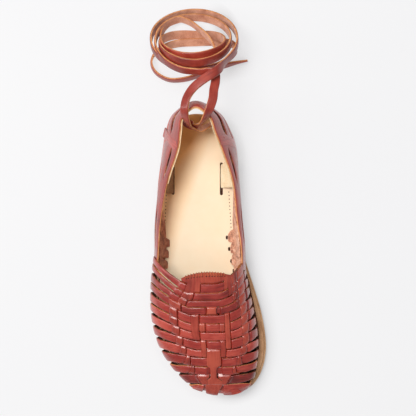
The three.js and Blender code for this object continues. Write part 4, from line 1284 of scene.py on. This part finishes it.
# how far in from the edge of the sole and of the upper the dark top begins: outer side, inner side
DARK_FROM_SOLE, DARK_FROM_UPPER = (1.3, 0.3), (0.6, 4.7)


def apart(outer, inner):
    """Two sides that never meet."""
    middle = (outer + inner) / 2
    return np.minimum(outer, middle - LEAST_HALF), np.maximum(inner, middle + LEAST_HALF)


def sole_sides(y):
    return sole_plan.outer(y), sole_plan.inner(y)


def under_upper(y):
    return apart(np.maximum(sole_plan.outer(y) + DARK_FROM_SOLE[0], upper_plan.outer(y) + DARK_FROM_UPPER[0]),
                 np.minimum(sole_plan.inner(y) + DARK_FROM_SOLE[1], upper_plan.inner(y) + DARK_FROM_UPPER[1]))


def layer_piece(name, node, finishes, inset, low, top, sides=sole_sides, rounding=0.8, covered=None):
    """A sole layer. Where covered gives two sides, the top between them has the second finish."""
    levels = [(inset + rounding * drawn, lambda y, end=end, up=up: (low, top)[end](y) + rounding * up, sides)
              for drawn, end, up in ROUNDED]
    if covered:
        levels.append((inset + rounding + COVER_INSET, top, covered))
    vertices, faces = layer_arrays(levels)
    per_station = 2 * len(levels)
    on_top = [1 if covered and i % per_station == per_station - 1 else 0 for i in range(len(faces))]
    piece = piece_from(name, [(vertices, faces, on_top, vertices[:, :2])], finishes, sharp=40)
    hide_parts(node)
    print(name, len(faces), "faces")
    return piece


layer_piece("outsole_layer", "outsole", [outsole_finish], 0.0, ground,
            lambda y: ground(y) + OUTSOLE_THICK)
layer_piece("midsole_layer", "midsole", [midsole_finish, shaded_flesh], MIDSOLE_INSET,
            lambda y: ground(y) + OUTSOLE_THICK + SEAT_GAP, midsole_top, rounding=0.6, covered=under_upper)

# %% [markdown]
# The footbed is smooth cream leather with a faint mottle, paler in the middle. Painted shade makes it
# browner toward the heel and along the outer wall, where the heel strap and the wall shade it, and dark
# under the vamp, where no light gets. Vertex colours could hold that; ramps over the place on the footbed,
# one toward the heel, one out from the line of the wall and one toward the toe, are easier to tune.

# %% Footbed finish
WALL_SLANT = -0.295              # the outer wall runs in by this much for each metre toward the heel
FOOTBED_STOPS = [(0.05, (250, 230, 199)), (0.25, (246, 212, 168)),
                 (0.55, (222, 159, 92)), (0.85, (100, 56, 30))]

footbed_finish, tree, principled = new_material(
    "cream_footbed", Roughness=0.5, Coat_Weight=0.12, Coat_Roughness=0.4)
where = object_place(tree)
parts = add_node(tree, "SeparateXYZ", Vector=where).outputs
# painted shade: browner toward the heel and along the outer wall, dark under the vamp; the noise adds mottle
heelward = remap(tree, parts["Y"], 0.075, 0.145)
outerward = remap(tree, work_out(tree, "MULTIPLY_ADD", parts["Y"], WALL_SLANT, parts["X"]), -0.028, -0.050)
toeward = remap(tree, parts["Y"], -0.032, -0.062, to_high=1.6)
by_wall = work_out(tree, "MULTIPLY_ADD", heelward, 0.9, 0.75)
by_heel = work_out(tree, "MULTIPLY", heelward, 0.5)
shade = work_out(tree, "MULTIPLY_ADD", outerward, by_wall, by_heel, clamp=True)
shade = work_out(tree, "ADD", shade, toeward)
shade_and_mottle = work_out(tree, "MULTIPLY_ADD", noise(tree, where, 45.0, 4.0, 0.6), 0.35, shade)
paint(tree, principled, work_out(tree, "MULTIPLY", shade_and_mottle, 0.5), FOOTBED_STOPS)
raise_bump(tree, principled, noise(tree, where, 1500.0, 3.0), 0.12, 0.0003)
print("footbed finish", footbed_finish.name)

# %% [markdown]
# Behind the vamp the footbed reaches out under the quarter; ahead of it the feet of the strips come down
# beside it. The slots for the tabs and for the ends of the side strips are cut through it with Boolean
# modifiers, which leave clean walls in the slots whatever the mesh around them.

# %% Footbed
# x, y of the middle, length along the foot, width
TAB_SLOTS = {"inner": (12.3, 63.0, 30.0, 2.8), "outer": (-32.0, 61.5, 26.0, 2.8)}
STRIP_SLOTS = [(17.4, 9.5, 3.6, 2.2), (19.6, -1.0, 3.8, 2.4), (21.6, -12.0, 4.0, 2.2),
               (23.6, -21.0, 4.0, 2.2), (-36.5, 4.0, 5.0, 2.2), (-37.5, -6.0, 5.0, 2.2),
               (-38.5, -16.0, 5.0, 2.2)]
CUT_FROM, CUT_TO = 2.0, 20.0     # heights between which a slot cutter reaches
FOOTBED_INSET, VAMP_INSET = 1.6, 4.0   # from the edge, and how much more under the vamp


def footbed_sides(y):
    inset = FOOTBED_INSET + VAMP_INSET * smoothstep(-6, -30, y)
    return apart(np.maximum(sole_plan.outer(y), upper_plan.outer(y)) + inset,
                 np.minimum(sole_plan.inner(y), upper_plan.inner(y)) - inset)


def slot_cutter(x, y, length, width):
    turns = [(end, math.radians(turn)) for end, start in ((1, 0), (-1, 180))
             for turn in np.linspace(start, start + 180, 9)]
    outline = [(x + width / 2 * math.cos(a), y + end * (length - width) / 2 + width / 2 * math.sin(a))
               for end, a in turns]
    n = len(outline)
    vertices = [(px, py, pz) for pz in (CUT_FROM, CUT_TO) for px, py in outline]
    mesh = bpy.data.meshes.new("slot_cutter")
    mesh.from_pydata([tuple(v) for v in to_scene(vertices)], [],
                     [tuple(range(n))[::-1], tuple(range(n, 2 * n))] + skin(2, n))
    return put("slot_cutter", mesh)


footbed = layer_piece("footbed", "insole", [footbed_finish], 0.0,
                      lambda y: midsole_top(y) + SEAT_GAP, insole_top, footbed_sides, rounding=0.5)
for cut in list(TAB_SLOTS.values()) + STRIP_SLOTS:
    cutter = slot_cutter(*cut)
    modifier = footbed.modifiers.new("slot", "BOOLEAN")
    modifier.object, modifier.operation, modifier.solver = cutter, "DIFFERENCE", "EXACT"
    with bpy.context.temp_override(object=footbed, active_object=footbed):
        bpy.ops.object.modifier_apply(modifier=modifier.name)
    bpy.data.objects.remove(cutter)
for face in footbed.data.polygons:
    face.use_smooth = face.normal.z < 0.9
print("footbed", len(footbed.data.polygons), "faces after cutting")

# %% [markdown]
# A short tab on each side comes up through its slot and is sewn to the wall. The inner one shows its cream
# face; the outer one lies in the shade of the wall, and its face is painted darker brown as painted shade. A
# bent plane would do; the band maker gives it thickness and cut edges. It leaves the slot upright and then
# leans out to the wall.

# %% Quarter tabs
TAB_THICK, TAB_OFF_WALL, TAB_SHARE = 1.4, 2.6, 0.42
TAB_END_GAP, TAB_BACK, TAB_FOLLOW, TAB_TURN = 1.5, 0.5, 0.6, 0.066
# share of the way out and share of the height
TAB_BEND = [(0.0, -0.15), (0.02, 0.02), (0.14, 0.10), (0.38, 0.24), (0.68, 0.50), (1.0, 1.0)]
# side, where round the quarter it is sewn, how much shorter it is than its slot, and the node it stands for
TABS = {"inner": (1, 0.272, 5.5, "quarter_tab_medial"), "outer": (-1, 0.262, 0.0, "quarter_tab_lateral")}


def tab_band(slot, side, sewn, shorter):
    x, y, length, _ = slot
    half = length / 2 - TAB_END_GAP
    y = y - TAB_BACK
    along = half - SHARES * (2 * half - shorter)
    place = (0.0 if side > 0 else 1.0) + side * (sewn - TAB_TURN * SHARES)
    wall = quarter_point(place, np.full_like(place, TAB_SHARE))
    foot = insole_top(y + along)
    rows = np.stack([np.stack([x + (wall[:, 0] - side * TAB_OFF_WALL - x) * reach,
                               y + along + (wall[:, 1] - y - along) * reach * TAB_FOLLOW,
                               foot + (wall[:, 2] - foot) * rise], -1) for reach, rise in TAB_BEND])
    grid = np.stack([smooth_route(rows[:, k], 8) for k in range(len(SHARES))], 1)
    normal = unit(np.cross(all_across(grid[:, FAR_EDGE] - grid[:, 0]), np.gradient(grid, axis=0))) * side
    return grid, np.where(normal[..., :1] * side < 0, normal, -normal)


# the outer tab's face is painted darker as painted shade of the wall
tab_shade = nap_leather("painted_shade_tab", (116, 80, 54), (150, 110, 78), (178, 138, 102), rough=0.7)
tab_cream = nap_leather("cream_tab", (232, 199, 154), (250, 229, 192), (254, 240, 214))
for name, (side, sewn, shorter, node) in TABS.items():
    face = tab_cream if side > 0 else tab_shade
    band = tab_band(TAB_SLOTS[name], side, sewn, shorter)
    tab = bands_piece(f"{name}_quarter_tab", [band], TAB_THICK, face, edge_dye_and_shade, face)
    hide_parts(node)
    print(tab.name, len(tab.data.polygons), "faces")

# %% [markdown]
# Small sewn and punched details come last. A thread is a thin tube along a short path. A punched hole, too
# small to be worth a Boolean, is a low cone of three rings laid just on the surface, painted dark as the
# painted shade inside the hole.

# %% Threads and holes
THREAD_AWAY = np.array([0.31, 0.17, 0.93])   # a direction that no thread follows
RIM_UP, MOUTH_UP, PIT_UP, MOUTH = 0.06, 0.09, 0.05, 0.6   # heights of the rings, and the inner one's share


def ring(side, up, around):
    turns = np.linspace(0, 2 * np.pi, around, endpoint=False)[:, None]
    return np.cos(turns) * side[..., None, :] + np.sin(turns) * up[..., None, :]


def tube_part(path, radius, finish, around=7):
    tangent = unit(np.gradient(path, axis=0))
    side = unit(np.cross(tangent, THREAD_AWAY))
    points = (path[:, None] + ring(side, np.cross(side, tangent), around) * radius).reshape(-1, 3)
    last_ring = (len(path) - 1) * around
    faces = skin(len(path), around)
    faces += [tuple(range(around))[::-1], tuple(range(last_ring, last_ring + around))]
    return points, faces, [finish] * len(faces), points[:, :2]


def hole_part(centre, normal, radius, finish, around=10):
    normal = unit(np.asarray(normal, float))
    side = unit(np.cross(normal, (0.0, 1.0, 0.2)))
    rim = radius * ring(side, np.cross(normal, side), around)
    points = np.concatenate([centre + rim + normal * RIM_UP, centre + MOUTH * rim + normal * MOUTH_UP,
                             [centre + normal * PIT_UP]])
    faces = skin(2, around)
    faces += [(around + k, around + (k + 1) % around, 2 * around) for k in range(around)]
    return points, faces, [finish] * len(faces), points[:, :2]


thread_finish = nap_leather("waxed_thread", (150, 62, 34), (190, 94, 54), (214, 124, 78),
                            rough=0.55, grain=2600.0, depth=0.5)
# painted shade: the dark inside of a punched hole
hole_finish = nap_leather("punched_hole", (26, 12, 8), (48, 24, 16), (74, 40, 26), rough=0.9)
print("thread and hole finishes")

# %% [markdown]
# The edge of the flap at the throat is whipped: a thread comes up through a hole, goes over the edge and
# back under. An array along a curve could repeat one stitch; placed on the woven surface one by one, each
# stitch sits square to the edge where it is.

# %% Whipped throat edge
THREAD, STITCH_HOLE = 0.42, 0.62
STITCH_XS = np.arange(-17.0, 16.5, 2.35)
FLAP_TOP = RISE + STRIP_THICK / 2 + 0.1

edge_u = np.linspace(FIRST_LINE, FIRST_LINE + 12, 400)
stitch_parts = []


def off_flap(u, row, out):
    return woven(u, row) + woven_normal(u, row) * out


for u in np.interp(STITCH_XS, woven(edge_u, np.full_like(edge_u, 0.28))[:, 0], edge_u):
    path = [off_flap(u + 0.10, 0.27, FLAP_TOP + 0.05), off_flap(u + 0.05, 0.12, FLAP_TOP + 0.35),
            woven(u, 0.0) + woven_normal(u, 0.02) * (FLAP_TOP - 0.1) + np.array([0, 0.55, 0.1]),
            off_flap(u, 0.02, RISE - STRIP_THICK / 2) + np.array([0, 0.3, -0.2])]
    stitch_parts.append(tube_part(smooth_route(path, 5), THREAD, 0))
    stitch_parts.append(hole_part(off_flap(u + 0.12, 0.31, FLAP_TOP + 0.02), woven_normal(u + 0.12, 0.31),
                                  STITCH_HOLE, 1))
whipping = piece_from("whipped_throat_edge", stitch_parts, [thread_finish, hole_finish])
print(whipping.name, "of", len(stitch_parts) // 2, "stitches")

# %% [markdown]
# A row of small holes runs down each side of the footbed, ahead of the tabs. Each could be cut like the
# slots, but at a millimetre across a cone painted dark, as painted shade of the hole, reads the same. They
# stand at even distances on a straight line, so two ends and a count are all that each row needs.

# %% Rows of holes in the footbed
HOLE_ROWS = [((19.1, 50.9), (21.6, 12.6)), ((-38.0, 50.9), (-39.8, 12.6))]
HOLES_A_ROW, HOLE_HALF = 13, 0.5

hole_parts = []
for start, end in np.array(HOLE_ROWS):
    for share in np.linspace(0, 1, HOLES_A_ROW):
        x, y = start + (end - start) * share
        hole_parts.append(hole_part(np.array([x, y, insole_top(y)]), (0, 0, 1), HOLE_HALF, 0))
footbed_holes = piece_from("footbed_holes", hole_parts, [hole_finish])
print(footbed_holes.name, len(hole_parts), "holes")

# %% [markdown]
# Ahead of the holes the side strips turn in: each end comes down the wall with its flesh side up and goes
# through a small slot in the footbed. A cloth simulation could fold them; a band on a given route is
# steadier, and the ends stay where the slots are.

# %% Ends of the side strips
END_THICK, END_SHARE, END_OFF_WALL = 1.5, 0.3, 2.4
# for each station of a strip end: share of the way out, y, height, and the way its grain looks
END_ROUTE = [(0.0, 0.0, -1.4), (0.06, 0.0, 0.9), (0.26, 0.5, 2.4), (0.52, 1.4, 5.5), (0.8, 2.2, 11.5)]
END_LOOK = [(1, 0, 0.0), (0.8, 0, -0.6), (0.4, 0.1, -0.9), (0.5, 0.1, -0.85), (0.8, 0.1, -0.5), (1, 0, -0.1)]
END_WIDE = {1: [4.2, 7.2, 10.6, 12.6, 13.2, 13.4], -1: [4.4, 6.2, 7.6, 8.6, 10.0, 11.6]}
END_SHIFT = {1: (1.5, 0.6), -1: (1.2, 1.2)}   # from its slot in x, for the ends toward heel and toe
END_SHIFT_FROM, END_BACK = -5, 3.0
WALL_YS = [-20, 2, 24, 58]       # y of the quarter's first sections


def place_at(y, side):
    place = np.interp(y, WALL_YS, np.arange(len(WALL_YS)) / SPANS)
    return place if side > 0 else 1 - place


def strip_end(x, y):
    """The band of one strip end, from its slot in the footbed out and up to the wall."""
    side = 1 if x > 0 else -1
    wall = quarter_point(place_at(min(y + END_BACK, WALL_YS[2]), side), END_SHARE)
    x += END_SHIFT[side][0 if y > END_SHIFT_FROM else 1]
    reach = wall[0] - side * END_OFF_WALL - x
    route = [(x + out * reach, y + back, insole_top(y) + up) for out, back, up in END_ROUTE]
    route.append((x + reach, y + END_BACK, wall[2]))
    line = smooth_route([(*r, side * lx, ly, lz, wide)
                         for r, (lx, ly, lz), wide in zip(route, END_LOOK, END_WIDE[side])], ROUTE_STEPS)
    return band_along(line[:, :6], line[:, 6])


print("ends of", len(STRIP_SLOTS), "side strips")

# %% [markdown]
# Behind the strip ends the lowest strap's edge is turned in too, and lies along the wall as a narrow margin
# that runs out toward the heel. The quarter's own mesh could be bent inward for it; a band between the wall
# and the footbed can change its width along the way. The ends and the margin of one side make one piece.

# %% Turned margins
# share of the wall where a turned margin starts, then y and how wide it lies
MARGINS = {1: (0.12, [(-8, 5.2), (24, 3.9), (40, 2.1), (52, 0.6), (60, -0.6)]),
           -1: (0.4, [(-8, 5.6), (14, 5.2), (22, 4.2), (29, 2.2), (35, 0.3)])}


def turned_margin(side):
    """The lowest strap's edge, turned in along the wall onto the footbed."""
    start, widths = MARGINS[side]
    ys = np.linspace(widths[-1][0], widths[0][0], 60)
    place, share = place_at(ys, side), np.full_like(ys, start)
    wall = quarter_point(place, share) - quarter_normal(place, share) * (WALL / 2 + END_THICK)
    wide = np.interp(ys, *zip(*widths))
    low = np.stack([wall[:, 0] - side * wide, wall[:, 1], insole_top(wall[:, 1]) + 1.0], 1)
    down = low - wall
    normal = unit(np.stack([-side * down[:, 2], 0 * wide, side * down[:, 0]], 1))
    return wall[:, None, :] + down[:, None, :] * SHARES[None, :, None], all_across(normal)


# the outer ends lie in the shade of the wall: a darker copy of the flesh side, painted shade
outer_flesh_shade = nap_leather("outer_flesh_side_shade", (100, 52, 36), (172, 102, 74), (212, 146, 112),
                          sheen=0.1, rough=0.92, grain=330.0, depth=1.0)
wrinkled_flesh = nap_leather("wrinkled_flesh_side", (124, 66, 50), (224, 160, 130), (254, 220, 194),
                             sheen=0.2, rough=0.92, grain=420.0, depth=1.0)
for name, side, flesh in (("inner", 1, wrinkled_flesh), ("outer", -1, outer_flesh_shade)):
    ends = [strip_end(x, y) for x, y, _, _ in STRIP_SLOTS if x * side > 0] + [turned_margin(side)]
    piece = bands_piece(f"{name}_strip_ends", ends, END_THICK, crosswise_leather, flesh, flesh)
    print(piece.name, len(ends), "bands")

# %% [markdown]
# The shoe is whole. The box of the CAD model and the box of everything that now shows are written down side
# by side, which tells how closely the looks keep to the solids' size. They could be compared by eye in the
# viewport; numbers are surer.

# %% Finish
size = {"cad": cad_box, "visual": [list(corner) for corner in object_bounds()]}
print(size)
